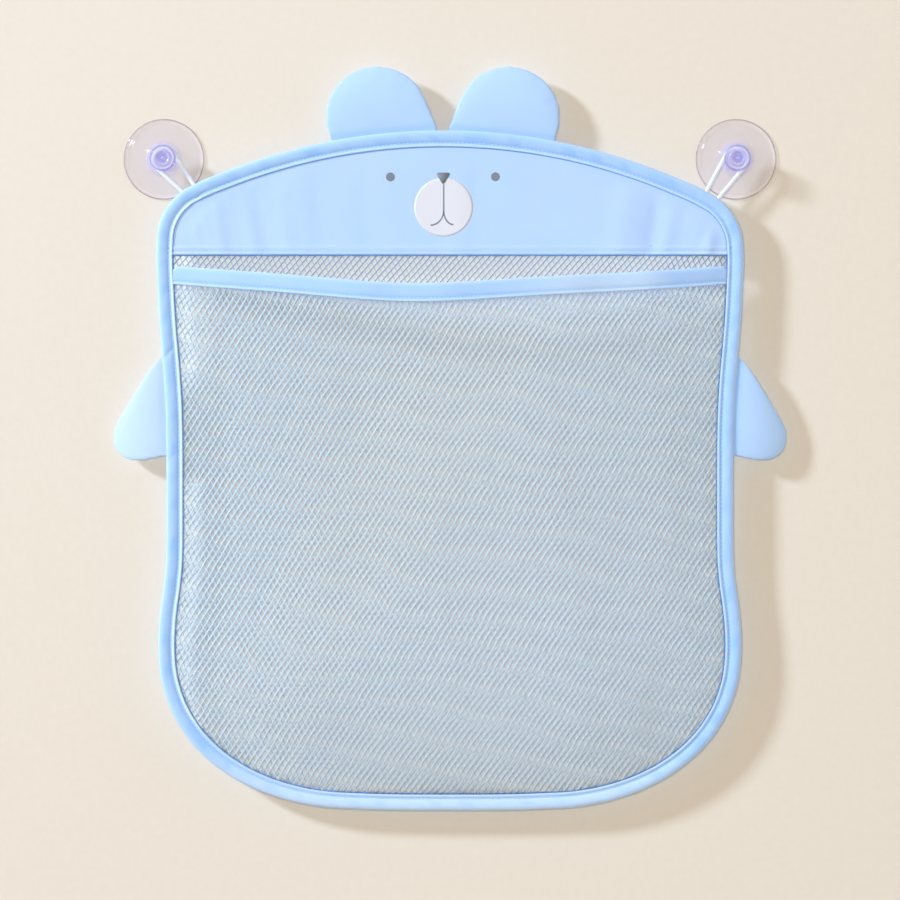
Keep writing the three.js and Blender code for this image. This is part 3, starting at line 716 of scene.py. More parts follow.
def binding_painted_shade(u, v):
    """Painted shade: in the stitched groove, in patches on the puff, and on the inner face."""
    inset, _ = read_section(binding_section, v)
    groove = 0.4 * np.exp(-((inset - STITCH_INSET) / (0.6 * MM)) ** 2)
    crumpled = 0.3 * np.clip(waves(u + 0.6 * inset / outline_length, 8, 12, 20, 90), 0, 1)
    return np.maximum(groove + crumpled * np.exp(-((inset - 4.2 * MM) / (2.4 * MM)) ** 2),
                      on_inner_face(v))


def binding_painted_light(u, v):
    """Painted light: a paler blue on the inner lip, most of all on the left, and on the outer rim.
    The binding's lowest part is painted a little paler too."""
    inset, _ = read_section(binding_section, v)
    x, z = on_outline(u, inset).T
    lip = (0.3 + 0.4 * smoothstep(-x, 135 * MM, 145 * MM)) * smoothstep(inset, 7.2 * MM, 8.1 * MM)
    low = 0.35 * smoothstep(-z, 325 * MM, 355 * MM)
    rim = 0.35 * np.exp(-inset / (0.8 * MM))
    return np.where(on_inner_face(v), 0, np.maximum(np.maximum(lip, low), rim))


# Creases in the binding: a middle, a direction, a length, a width and a depth, in millimetres.
CREASES = [((-155.6, -107.5), (-0.6, -0.8), 11, 1.0, 0.55),
           ((-140.2, -21.5), (0.75, 0.66), 6, 0.7, 0.5),
           ((-141.8, -24.6), (0.75, 0.66), 5, 0.6, 0.35),
           ((156.2, -110.5), (0.5, -0.86), 10, 1.0, 0.4),
           ((-156.0, -167.5), (0.7, 0.7), 8, 1.2, 0.3),
           ((-148.0, -322.0), (0.5, 0.86), 8, 1.1, 0.35),
           ((144.0, -331.0), (-0.6, 0.8), 7, 1.1, 0.3),
           ((39.5, 8.6), (0.1, 1.0), 5, 0.9, 0.25)]


def creases(place):
    total = np.zeros(len(place))
    for middle, way, length, width, depth in CREASES:
        way = np.array(way) / np.linalg.norm(way)
        reach = place / MM - middle
        along, across = reach @ way, reach @ np.array([-way[1], way[0]])
        total += depth * MM * np.exp(-(across / width) ** 2 - (2 * along / length) ** 4)
    return total


print("creases in the binding:", len(CREASES))

# %% Edge binding
PUFF_INSET = 3.8 * MM
STITCH_DIMPLE = 0.16 * MM
STEPS_PER_STITCH = 3


def binding_bend(u, v):
    inset, rise = read_section(binding_section, v)
    puffy = np.exp(-((inset - PUFF_INSET) / (2.2 * MM)) ** 2)
    groove = np.exp(-((inset - STITCH_INSET) / (0.9 * MM)) ** 2)
    lip = np.clip((inset - STITCH_INSET) / (2 * MM), 0, 1)
    stitch = 0.5 + 0.5 * np.cos(u * math.tau * stitch_count)
    slanted = u + 0.8 * inset / outline_length
    pucker = 0.1 * waves(slanted, 3, 12, 20, 130) * puffy + 0.07 * waves(u, 5, 9, 60, 260) * lip
    place = on_outline(u, inset)
    change = pucker * MM - STITCH_DIMPLE * stitch * groove
    change -= creases(place) * np.clip(rise / (1.5 * MM), 0, 1)
    return in_the_bag(place[:, 0], rise + np.sign(rise) * change, place[:, 1])


def edge_binding():
    corners = np.vstack([binding_section, binding_section[:1]])
    around = np.linalg.norm(np.diff(corners, axis=0), axis=1).sum()
    mesh = bent_grid("binding_tape", (stitch_count * STEPS_PER_STITCH, len(binding_section)),
                     binding_bend, size=(outline_length, around),
                     marks={"fold": binding_painted_shade, "edge": binding_painted_light})
    piece = new_piece("binding_tape", mesh, tape_cloth)
    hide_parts("edge_binding")
    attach(piece, "bag")
    return len(mesh.polygons)


print("binding:", edge_binding(), "faces")

# %% [markdown]
# ## Stitches
# A topstitch shows as a row of short, slightly sunk threads with a gap between them. Each is a
# small ball stretched along the seam. A line of places and a line of directions say where they
# go, so that the same function sews the binding, the hem and the head panel.

# %% Stitches
STITCH_LENGTH = 1.8 * MM
THREAD_RADIUS = 0.2 * MM
THREAD_FLAT = 1.2  # a pulled stitch is this much wider than it is high
BINDING_STITCH_RISE = 1.18 * MM


def one_stitch():
    bm = bmesh.new()
    shape = Matrix.Diagonal((STITCH_LENGTH / 2, THREAD_RADIUS * THREAD_FLAT, THREAD_RADIUS, 1))
    bmesh.ops.create_uvsphere(bm, u_segments=6, v_segments=5, radius=1,
                              matrix=shape @ Matrix.Rotation(math.pi / 2, 4, "Y"))
    return mesh_from(bm, "one_stitch")


stitch = one_stitch()


def sew(name, places, out):
    """A row of stitches, one between each two neighbouring places. out is the cloth's way out."""
    bm = bmesh.new()
    for _ in places[1:]:
        bm.from_mesh(stitch)
    mesh = mesh_from(bm, name)
    along = np.diff(places, axis=0)
    along /= np.linalg.norm(along, axis=1)[:, None]
    aside = np.cross(out, along)
    aside /= np.linalg.norm(aside, axis=1)[:, None]
    turns = np.stack([along, aside, np.cross(along, aside)], axis=1)
    middles = (places[1:] + places[:-1]) / 2
    set_corners(mesh, (corners_of(stitch) @ turns + middles[:, None]).reshape(-1, 3))
    piece = new_piece(name, mesh, sewing_thread)
    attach(piece, "bag")
    return len(middles)


def binding_stitches(name, side):
    u = (np.arange(stitch_count + 1) + 0.5) / stitch_count
    place = on_outline(u, np.full(len(u), STITCH_INSET))
    seam_line = in_the_bag(place[:, 0], side * BINDING_STITCH_RISE, place[:, 1])
    return sew(name, seam_line, (0, -side, 0))


print("stitches:", binding_stitches("binding_stitches_front", 1),
      binding_stitches("binding_stitches_back", -1))

# %% [markdown]
# ## The head panel
# The panel is a single cloth, held in the binding along the crown and hemmed along its lower
# edge, where it is folded double and stitched. Cloth that is sewn to a curve never lies quite
# flat: soft folds run down from the binding, strongest near the two ends. The sheet is a grid
# whose columns run from the hem to the crown, and a Solidify modifier gives it its thickness.

# %% Folds of the panel
PANEL_THICKNESS = 0.4 * MM
PANEL_TUCK = 5.6 * MM  # how far inside the outline the panel's edge lies, in the binding's fold
PANEL_FOLD = 5.0 * MM  # the height of the doubled lower edge
PANEL_SEAM = 2.3 * MM
FLAT_EDGE = 9 * MM  # the binding's lips hold the cloth flat as far as here
FOLD_LEVEL = 10 * MM  # above the lower edge, where the folds' places are counted
panel_low, panel_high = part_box("head_panel")
PANEL_EDGE = panel_low.z


def crown_level(x, inset):
    loop = outline + inward * inset
    top = loop[loop[:, 1] > PANEL_EDGE]
    top = top[np.argsort(top[:, 0])]
    return np.interp(x, top[:, 0], top[:, 1])


# Sharper folds near the panel's ends: a middle, a height and a width, in millimetres.
END_FOLDS = [(-140, 0.4, 3.0), (-127, 0.6, 3.8), (-109, 0.65, 5.0), (-90, 0.4, 5.0),
             (121, 0.4, 4.0)]


def panel_folds(x, z):
    """Soft folds that run down from the crown and a little inwards, in metres towards the room."""
    draw = random.Random(11)
    held = np.clip((crown_level(x, FLAT_EDGE) - z) / (14 * MM), 0, 1)
    ends = 0.6 + 2.6 * np.clip((np.abs(x) - 70 * MM) / (60 * MM), 0, 1)
    total = np.zeros_like(x)
    for start in np.linspace(-150, 150, 19):
        middle = (start + draw.uniform(-6, 6)) * MM
        lean = -middle * draw.uniform(0.2, 1.0) / (300 * MM)
        width = draw.uniform(4, 9) * MM
        height = draw.uniform(-0.35, 0.75) * MM
        line = middle + lean * (PANEL_EDGE + FOLD_LEVEL - z)
        total += height * np.exp(-((x - line) / width) ** 2)
    total *= ends
    for middle, height, width in END_FOLDS:
        line = (middle - middle / 600 * (PANEL_EDGE + FOLD_LEVEL - z) / MM) * MM
        total += height * MM * np.exp(-((x - line) / (width * MM)) ** 2)
    return total * held


def panel_forward(x, z):
    """How far the panel stands forward: a little over the middle plane, less at its seam, and with
    its lower edge doubled and rolled."""
    up = z - PANEL_EDGE
    double = np.clip((PANEL_FOLD - up) / (0.8 * MM), 0, 1)
    rolled = np.clip((0.7 * MM - up) / (0.7 * MM), 0, 1) ** 2
    stitched = np.exp(-((up - PANEL_SEAM) / (0.7 * MM)) ** 2)
    sides = np.clip((level_half(FLAT_EDGE, z) - np.abs(x)) / (10 * MM), 0, 1)
    flat = 0.75 * MM + 0.35 * MM * double - 0.3 * MM * rolled - 0.25 * MM * stitched
    return flat + panel_folds(x, z) * sides


panel_half = level_half(PANEL_TUCK, PANEL_EDGE) - 0.4 * MM
print("half of the head panel is", round(panel_half / MM, 1), "mm wide")

# %% Head panel
def head_panel():
    height = panel_high.z - PANEL_EDGE

    def place(u, v):
        across = 2 * u - 1
        x = panel_half * (1.4 * across - 0.4 * across**3)
        return x, PANEL_EDGE + (1.6 * v - 0.6 * v**3) * (crown_level(x, PANEL_TUCK) - PANEL_EDGE)

    def bend(u, v):
        x, z = place(u, v)
        return in_the_bag(x, panel_forward(x, z), z)

    # Painted shade: a deep line in the lip's shadow on the panel, and a little in the seam.
    def fold(u, v):
        x, z = place(u, v)
        under_lip = np.clip(1.9 - (inset_of(x, z) - LIP_INSET) / (0.35 * MM), 0, 1)
        stitched = 0.14 * np.exp(-((z - PANEL_EDGE - PANEL_SEAM) / (0.5 * MM)) ** 2)
        return np.maximum(under_lip, stitched)

    # Painted light: a paler band along the panel's lower edge.
    def edge(u, v):
        below = -place(u, v)[1]
        return 0.2 * smoothstep(below, -PANEL_EDGE - 1.8 * MM, -PANEL_EDGE - 1.2 * MM)

    mesh = bent_grid("head_panel_cloth", (300, 100), bend, marks={"fold": fold, "edge": edge},
                     size=(2 * panel_half, height))
    piece = new_piece("head_panel_cloth", mesh, panel_cloth)
    thicken(piece, PANEL_THICKNESS)
    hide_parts("head_panel")
    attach(piece, "bag")
    return 2 * panel_half


print("head panel:", round(head_panel() / MM, 1), "mm wide")

# %% [markdown]
# One row of stitches holds the doubled edge down. Its places are read from the panel's own
# surface, so that the threads lie in the folds.

# %% Panel stitches
PANEL_STITCH_RISE = 0.24 * MM


def panel_stitches():
    half = level_half(FLAT_EDGE, PANEL_EDGE)
    count = round(2 * half / STITCH_PITCH)
    x = np.linspace(-half, half, count + 1)
    z = np.full(count + 1, PANEL_EDGE + PANEL_SEAM)
    seam_line = in_the_bag(x, panel_forward(x, z) + PANEL_STITCH_RISE, z)
    return sew("panel_stitches", seam_line, (0, -1, 0))


print("panel stitches:", panel_stitches())

# %% [markdown]
# The panel's lower edge is turned under before it is stitched, and the turned layer peeps out
# below the front one by less than a millimetre. It is coloured all over in the panel's deep
# fold colour, as painted shade, so it draws a thin deep-blue shadow line.

# %% Turned edge
TURNED_PEEP = 0.7 * MM
TURNED_FORWARD = 0.3 * MM
TURNED_THICKNESS = 0.3 * MM


def turned_edge():
    width = PANEL_FOLD + TURNED_PEEP

    def bend(u, v):
        wave = 0.12 * MM * waves(u, 31, 6, 20, 90)
        z = PANEL_EDGE - TURNED_PEEP + wave * (1 - v) + v * width
        return in_the_bag(panel_half * (2 * u - 1), TURNED_FORWARD, z)

    # The whole strip carries the painted shade colour.
    mesh = bent_grid("panel_painted_shade_line", (300, 6), bend, size=(2 * panel_half, width),
                     marks={"fold": lambda u, v: np.full(len(u), 1.0)})
    piece = new_piece("panel_painted_shade_line", mesh, panel_cloth)
    thicken(piece, TURNED_THICKNESS)
    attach(piece, "bag")
    return width


print("turned edge:", round(turned_edge() / MM, 1), "mm wide")

# %% [markdown]
# ## The printed face
# The face is ink on cloth: two eyes, a pale disc, a nose and a mouth, all plain shapes. Each is
# cut as a flat outline, filled, and laid on the panel's own surface a twentieth of a millimetre
# proud, so that it follows the folds.

# %% Laying a print
INK_THICKNESS = 0.04 * MM
PRINT_LIFT = 0.05 * MM


def lay_print(name, bm, material):
    """Lays a flat outline (x, z and a lift) on the panel's surface."""
    mesh = mesh_from(bm, name)
    x, z, lift = corners_of(mesh).T
    lift = panel_forward(x, z) + PANEL_THICKNESS / 2 + PRINT_LIFT + lift
    set_corners(mesh, in_the_bag(x, lift, z))
    piece = new_piece(name, mesh, material)
    thicken(piece, INK_THICKNESS, offset=-1.0)
    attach(piece, "bag")


def printed_disc(name, x, z, radius, material):
    """Rings of quads round a middle point, so that a wide disc still follows the folds."""
    def bend(u, v):
        reach, turn = v * radius, u * math.tau
        return np.stack([x + reach * np.cos(turn), z + reach * np.sin(turn), 0 * u], axis=1)

    bm = bmesh.new()
    bm.from_mesh(bent_grid(name, (64, 14), bend))
    lay_print(name, bm, material)


def printed_line(name, points, width, material):
    line = np.array(points) * MM

    def bend(u, v):
        side = along_line(line, u) + beside_line(line, u, 0.01) * ((v - 0.5) * width)[:, None]
        return np.stack([side[:, 0], side[:, 1], np.full(len(u), PRINT_LIFT)], axis=1)

    bm = bmesh.new()
    bm.from_mesh(bent_grid(name, (48, 2), bend))
    lay_print(name, bm, material)


def rounded_nose(name, x, z, width, height, material):
    """A triangle that points down, with its corners well rounded."""
    bm = bmesh.new()
    shape = [(-width / 2, height / 2), (width / 2, height / 2), (0, -height / 2)]
    face = bm.faces.new([bm.verts.new((x + across, z + up, PRINT_LIFT)) for across, up in shape])
    bmesh.ops.bevel(bm, geom=face.verts[:], affect="VERTICES", offset=width * 0.22, segments=8,
                    profile=0.5, material=-1)
    lay_print(name, bm, material)


print("a print lies", round(PRINT_LIFT / MM, 2), "mm over the cloth")

# %% Face
FACE_X = -3.6 * MM
EYE_RADIUS = 2.45 * MM
MUZZLE_RADIUS = 16.3 * MM
LINE_WIDTH = 0.85 * MM


def quarter(x, z, radius_x, radius_z, start, end):
    angles = np.radians(np.linspace(start, end, 14))
    return [(x + radius_x * math.cos(a), z + radius_z * math.sin(a)) for a in angles]


printed_disc("eye_print_left", -33.1 * MM, -10.4 * MM, EYE_RADIUS, grey_ink)
printed_disc("eye_print_right", 25.2 * MM, -10.3 * MM, EYE_RADIUS, grey_ink)
printed_disc("muzzle_print", FACE_X, -27.2 * MM, MUZZLE_RADIUS, white_ink)
rounded_nose("nose_print", FACE_X - 0.1 * MM, -11.6 * MM, 8.6 * MM, 7.2 * MM, grey_ink)
for name, points in (("line", [(-3.5, -14.5), (-3.5, -29.0)]),
                     ("left", quarter(-10.8, -29.0, 7.3, 8.2, 0, -90)),
                     ("right", quarter(1.9, -29.0, 5.4, 7.9, 180, 270))):
    printed_line(f"mouth_print_{name}", points, LINE_WIDTH, grey_ink)

# %% [markdown]
# ## The pocket's shape
# The front net bows out of the binding's plane, so that a real pocket is left between the nets.
# Its bow is a formula of the place: nothing at the binding, most in the middle, and deeper in the
# belly than at the mouth. The mouth sags under the hem's weight. Everything that belongs to the
# pocket reads the same formula, so net, hem and stitches fit each other.

# %% Pocket shape
MOUTH_DROP = 61 * MM
MOUTH_SAG = 6.7 * MM
MOUTH_DEPTH = 18 * MM  # how far the mouth stands out of the binding, and the belly below it
BELLY_DEPTH = 25 * MM
BELLY_DROP = 150 * MM
BASE_REACH = 90 * MM  # over this height the pocket closes again at its bottom
LACE_INSET = 9.3 * MM  # where the nets come out of the binding
HEM_LIFT = 1.3 * MM  # the cloth hem's ends hang this much higher than the frame's
HEM_DIP = 3.6 * MM  # and it dips by this much more, a little left of its middle
HEM_DIP_X = -22 * MM
HEM_DIP_REACH = 55 * MM
lace_levels, lace_widths = level_widths(LACE_INSET)


def lace_half(z):
    """Half the width of the open net at a level."""
    return np.interp(z, lace_levels, lace_widths)


def pocket_bulge(x, z):
    """How far the pocket stands out of the binding."""
    lower = smoothstep(-z, MOUTH_DROP, MOUTH_DROP + BELLY_DROP)
    depth = MOUTH_DEPTH + (BELLY_DEPTH - MOUTH_DEPTH) * lower
    rise = np.clip((z - lace_levels[0]) / BASE_REACH, 0, 1)
    return depth * np.clip(1 - (x / lace_half(z)) ** 2, 0, None) * (1 - (1 - rise) ** 2)


def hem_level(x):
    sag = MOUTH_SAG * np.clip(1 - (x / lace_half(-MOUTH_DROP)) ** 2, 0, None)
    dip = HEM_DIP * np.exp(-((x - HEM_DIP_X) / HEM_DIP_REACH) ** 2)
    return HEM_LIFT - MOUTH_DROP - sag - dip


print("the pocket is", round(pocket_bulge(np.zeros(1), np.array([-0.22]))[0] / MM, 1), "mm deep")

# %% [markdown]
# A net that hangs free is never quite smooth. It has long slack folds, it takes over the waves of
# the hem above it, and its threads shift a little in their own plane. All three fade out where
# the binding holds the net.

# %% Slack in the nets
HEM_WIDTH = 10.3 * MM


def pocket_folds(x, z):
    """Slack folds of the pocket net: long, nearly upright, and gone at the binding and the hem."""
    draw = random.Random(5)
    held = np.clip((lace_half(z) - np.abs(x)) / (25 * MM), 0, 1)
    held = held * smoothstep(hem_level(x) - z, 8 * MM, 60 * MM)
    held = held * smoothstep(z, -350 * MM, -290 * MM)
    total = np.zeros_like(x)
    for start in np.linspace(-120, 120, 9):
        middle = (start + draw.uniform(-9, 9)) * MM
        lean = draw.uniform(-0.16, 0.16)
        width = draw.uniform(9, 17) * MM
        height = draw.uniform(-1.8, 2.0) * MM
        line = middle + lean * (z + 200 * MM)
        total += height * np.exp(-((x - line) / width) ** 2)
    return total * held


def hem_pucker(x, z):
    """The hem's slow waves, towards the room, which die out in the net below it."""
    half = lace_half(-MOUTH_DROP)
    u = (x + half) / (2 * half)
    wave = 0.35 * waves(u, 21, 5, 2, 8) + 0.03 * waves(u, 22, 6, 20, 60)
    held = np.clip((half - np.abs(x)) / (20 * MM), 0, 1)
    return wave * MM * held * smoothstep(z - hem_level(x), -30 * MM, -HEM_WIDTH)


def drift(x, z, seed, amount):
    """The shift of a net in its own plane: slow and uneven."""
    draw = random.Random(seed)
    held = smoothstep(lace_half(z) - np.abs(x), 0, 40 * MM) * smoothstep(z, -352 * MM, -310 * MM)
    shift = np.zeros((2, len(x)))
    for _ in range(7):
        way = draw.uniform(0, math.tau)
        length = draw.uniform(55, 140) * MM
        start = draw.uniform(0, math.tau)
        phase = (x * math.cos(way) + z * math.sin(way)) * math.tau / length + start
        shift += np.array([[math.sin(way)], [math.cos(way)]]) * np.sin(phase)
    return shift * amount * held


deepest = np.abs(pocket_folds(np.linspace(-0.14, 0.14, 99), np.full(99, -0.2))).max()
print("the pocket's folds are up to", round(deepest / MM, 1), "mm deep")

# %% [markdown]
# ## The nets
# Both nets are knitted in diamonds about 3.6 mm wide and 5.8 mm high. A grid of squares, turned
# by 45 degrees and stretched, gives the diamonds. Insetting every face by half a thread and
# sinking the inner edge leaves threads with a ridge, and the gaps are deleted. A mirror across
# the net's plane closes each thread all round. Only then is the flat net bent over the pocket, so
# that the diamonds stay even, as they do in real knitting.

# %% Diamonds
CELL_WIDTH = 3.55 * MM
CELL_HEIGHT = 5.8 * MM
THREAD_HALF = 0.28 * MM
THREAD_RISE = 0.24 * MM
MIRROR_WELD = 1e-7
# Threads that fall to the right are thinner than the others by this share, from left to right.
THIN_SHARES = [(-150, 0.9), (-100, 0.85), (-50, 0.6), (30, 0.5), (100, 0.6), (150, 0.75)]
NET_TUCK = 6.5 * MM  # cells whose middle lies further out than this are cut away


def cut_diamonds(top, turn, scale):
    """The net before it is knitted, flat: across in x and up in y. What lies outside the binding
    or above the level top(x) is cut away."""
    span = np.ptp(outline, axis=0)
    count = round(1.15 * (span[0] / CELL_WIDTH + span[1] / CELL_HEIGHT)) + 2
    bm = bmesh.new()
    bmesh.ops.create_grid(bm, x_segments=count, y_segments=count, size=count / 2)
    diamonds = Matrix(((CELL_WIDTH / 2, -CELL_WIDTH / 2, 0, 0),
                       (CELL_HEIGHT / 2, CELL_HEIGHT / 2, 0, 0), (0, 0, 1, 0), (0, 0, 0, 1)))
    middle = (outline[:, 1].min() + outline[:, 1].max()) / 2
    laid = Matrix.Translation((0, middle, THREAD_RISE)) @ Matrix.Rotation(turn, 4, "Z")
    sized = Matrix.Diagonal((scale, scale, 1, 1))
    bmesh.ops.transform(bm, matrix=laid @ diamonds @ sized, verts=bm.verts)
    x, y, _ = np.array([face.calc_center_median() for face in bm.faces]).T
    keep = inside_outline(x, y, NET_TUCK) & (y < top(x))
    outside = [face for face, kept in zip(bm.faces, keep) if not kept]
    bmesh.ops.delete(bm, geom=outside, context="FACES")
    for vert in bm.verts:
        if vert.is_boundary:
            vert.co.z = 0
    return bm


def thread_axes(turn):
    """Axes along the threads, those that rise to the right first, and the way back from them."""
    threads = Matrix(((CELL_WIDTH, CELL_WIDTH), (CELL_HEIGHT, -CELL_HEIGHT)))
    axes = Matrix.Rotation(turn, 2) @ threads
    return axes, axes.inverted()


def share_out_yarns(faces):
    """Threads that fall to the right are knitted from the second yarn."""
    for face in faces:
        long_side = max(face.edges, key=lambda edge: edge.calc_length())
        run = long_side.verts[1].co - long_side.verts[0].co
        face.material_index = int(run.x * run.y < 0)


def thin_threads(gaps, turn, scale):
    """Widens the gaps along the threads that rise, which leaves the threads that fall thinner."""
    axes, back = thread_axes(turn)
    spacing = scale * CELL_WIDTH * CELL_HEIGHT / math.hypot(CELL_WIDTH, CELL_HEIGHT)
    for face in gaps:
        middle = face.calc_center_median().to_2d()
        share = np.interp(middle.x / MM, *zip(*THIN_SHARES))
        wider = 1 + 2 * THREAD_HALF * (1 - share) / (spacing - 2 * THREAD_HALF)
        for vert in face.verts:
            widened = axes @ Matrix.Diagonal((wider, 1)) @ back @ (vert.co.xy - middle)
            vert.co.xy = middle + widened
            vert.co.z = 0


def knit(bm, turn, scale):
    """Turns the lines between the diamonds into threads with a ridge, and opens the gaps."""
    gaps = bm.faces[:]
    bmesh.ops.inset_individual(bm, faces=gaps, thickness=THREAD_HALF, depth=-THREAD_RISE,
                               use_even_offset=True)
    share_out_yarns(bm.faces[len(gaps):])
    thin_threads(gaps, turn, scale)
    bmesh.ops.delete(bm, geom=gaps, context="FACES")
    bmesh.ops.mirror(bm, geom=bm.verts[:] + bm.edges[:] + bm.faces[:], axis="Z",
                     merge_dist=MIRROR_WELD)
    bmesh.ops.recalc_face_normals(bm, faces=bm.faces)


print("a diamond measures", round(CELL_WIDTH / MM, 2), "by", round(CELL_HEIGHT / MM, 2), "mm")

# %% [markdown]
# Both nets go through the same steps, and differ only in where they hang. The rear net is
# stretched flat, and was cut a little off the straight from a slightly finer net. That also
# matters for the picture: two nets of the same pitch, one behind the other, would show broad
# false bands (moiré). The pocket's net hangs from its hem and follows the bulge, the folds and
# the waves.

# %% Nets
NET_LAYER = 0.6 * MM  # each net's middle lies this far from the binding's middle plane
HEM_OVERLAP = 3 * MM  # how far below the hem's upper edge the pocket's net is cut


def make_net(name, node_name, yarns, top, forward, shaded, turn, scale, give, seed):
    """top is the level where the net is cut, forward how far it stands out, and shaded how much
    painted shade its yarn gets. give is the largest shift of its threads."""
    bm = cut_diamonds(top, turn, scale)
    knit(bm, turn, scale)
    mesh = mesh_from(bm, name)
    flat = corners_of(mesh)
    moved = flat[:, :2] + drift(flat[:, 0], flat[:, 1], seed, give).T
    set_corners(mesh, in_the_bag(moved[:, 0], forward(*moved.T) + flat[:, 2], moved[:, 1]))
    # Painted shade under the binding's lip, and wherever shaded says.
    under_lip = 1.4 - (inset_of(*moved.T) - LIP_INSET) / (0.7 * MM)
    mark(mesh, "fold", np.clip(np.maximum(under_lip, shaded(*moved.T)), 0, 1))
    piece = new_piece(name, mesh, *yarns)
    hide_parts(node_name)
    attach(piece, "bag")
    return len(mesh.polygons)


def pocket_forward(x, z):
    return NET_LAYER + pocket_bulge(x, z) + pocket_folds(x, z) + hem_pucker(x, z)


# Painted shade on the pocket net just below the hem.
def hem_shade(x, z):
    return 0.6 * smoothstep(z - hem_level(x), -HEM_WIDTH - 4 * MM, -HEM_WIDTH)


# The rear net's bare strip under the panel gets painted shade.
print("rear net:", make_net(
    "rear_net_knit", "rear_net", rear_yarns_painted_shade, top=lambda x: np.full_like(x, 1.0),
    forward=lambda x, z: np.full_like(x, -NET_LAYER),
    shaded=lambda x, z: smoothstep(z, -76 * MM, -66 * MM),
    turn=math.radians(-10), scale=0.92, give=0.3 * MM, seed=13), "faces")
print("pocket net:", make_net(
    "pocket_net_knit", "pocket_net", pocket_yarns,
    top=lambda x: hem_level(x) - HEM_OVERLAP, forward=pocket_forward, shaded=hem_shade,
    turn=0, scale=1, give=0.35 * MM, seed=15), "faces")

# %% [markdown]
# ## The pocket's hem
# The hem is a tape folded over the net's cut edge, stitched along its lower side. It bows out
# with the pocket, and it sags a little in the middle. Its ends are turned under, which cuts the
# corners off at a slant. The section is a flat closed loop with soft edges.

# %% Section of the hem
HEM_CORNER = 2.0 * MM
HEM_SEAM = 8.2 * MM
HEM_END = 0.15 * MM
# How far below the hem's upper edge, and how far forward, in millimetres.
HEM_FACE = [(0.0, 0.0), (0.05, 0.4), (0.3, 0.78), (0.9, 0.98), (2.5, 1.05), (5.5, 1.05),
            (7.0, 0.98), (7.8, 0.76), (8.2, 0.6), (8.6, 0.7), (9.2, 0.95), (9.8, 1.08),
            (10.15, 0.95), (10.3, 0.5)]
HEM_BACK = [(down, -0.8 * rise) for down, rise in HEM_FACE[1:]]
hem_section = np.array(HEM_FACE + HEM_BACK[::-1]) * MM
hem_length = 2 * lace_half(-MOUTH_DROP)


def hem_place(u, down, rise):
    half = hem_length / 2 - HEM_END
    x = half * (2 * u - 1)
    corner = np.clip(HEM_CORNER - (half - np.abs(x)), 0, None)
    down = corner + down * (HEM_WIDTH - corner) / HEM_WIDTH
    z = hem_level(x) - down
    return in_the_bag(x, NET_LAYER + pocket_bulge(x, z) + hem_pucker(x, z) + rise, z)


def hem_painted_shade(u, v):
    """Painted shade in the groove of the seam."""
    down, _ = read_section(hem_section, v)
    return 0.3 * np.exp(-((down - HEM_SEAM) / (0.5 * MM)) ** 2)


def hem_painted_light(u, v):
    """Painted light: paler along the two edges, and over a stretch right of the middle."""
    down, _ = read_section(hem_section, v)
    upper = 0.35 * np.exp(-down / (0.8 * MM))
    lips = np.maximum(0.2 * smoothstep(down, 8.6 * MM, 9.2 * MM), upper)
    faded = 0.35 * smoothstep(u, 0.55, 0.75) * (1 - smoothstep(u, 0.84, 0.92))
    return np.maximum(lips, faded)


print("the hem's section has", len(hem_section), "corners")

# %% Hem
HEM_STITCH_ENDS = (0.008, 0.992)
HEM_STITCH_RISES = {"front": 0.64 * MM, "back": -0.52 * MM}


def pocket_hem():
    mesh = bent_grid("hem_tape", (300, len(hem_section)),
                     lambda u, v: hem_place(u, *read_section(hem_section, v)),
                     size=(hem_length, 2.2 * HEM_WIDTH), fill_ends=True,
                     marks={"fold": hem_painted_shade, "edge": hem_painted_light})
    piece = new_piece("hem_tape", mesh, tape_cloth)
    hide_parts("pocket_hem")
    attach(piece, "bag")
    return len(mesh.polygons)


def hem_stitches(side, way_out):
    count = round(hem_length / STITCH_PITCH)
    u = np.linspace(*HEM_STITCH_ENDS, count + 1)
    seam_line = hem_place(u, np.full(count + 1, HEM_SEAM), HEM_STITCH_RISES[side])
    return sew(f"hem_stitches_{side}", seam_line, way_out)


print("hem:", round(hem_length / MM, 1), "mm long,", pocket_hem(), "faces")
print("hem stitches:", hem_stitches("front", (0, -1, 0)), hem_stitches("back", (0, 1, 0)))

# %% [markdown]
# ## Ears and paws
# An ear is two layers of cloth sewn together, turned and lightly stuffed. Blender's cloth
# simulation does what the stuffing does: a thin flat pad is pumped up a little, and its rim draws
# in. The outline comes from the frame's own ear. The pad is remeshed into even quads first, which
# cloth needs, and the edge that is sewn into the binding is pinned.

# %% Pattern of a flap
PAD_START = 1.0 * MM  # half the thickness at the seam, before it is stuffed
PAD_CROWN = 1.2  # the middle is thicker than the seam by this share
PAD_SOFTNESS = 7 * MM  # how far from the seam the pad goes on growing
PAD_RIM_POINTS = 140
ROOT_TAIL = 2.6 * MM  # how far the pad goes on under the binding


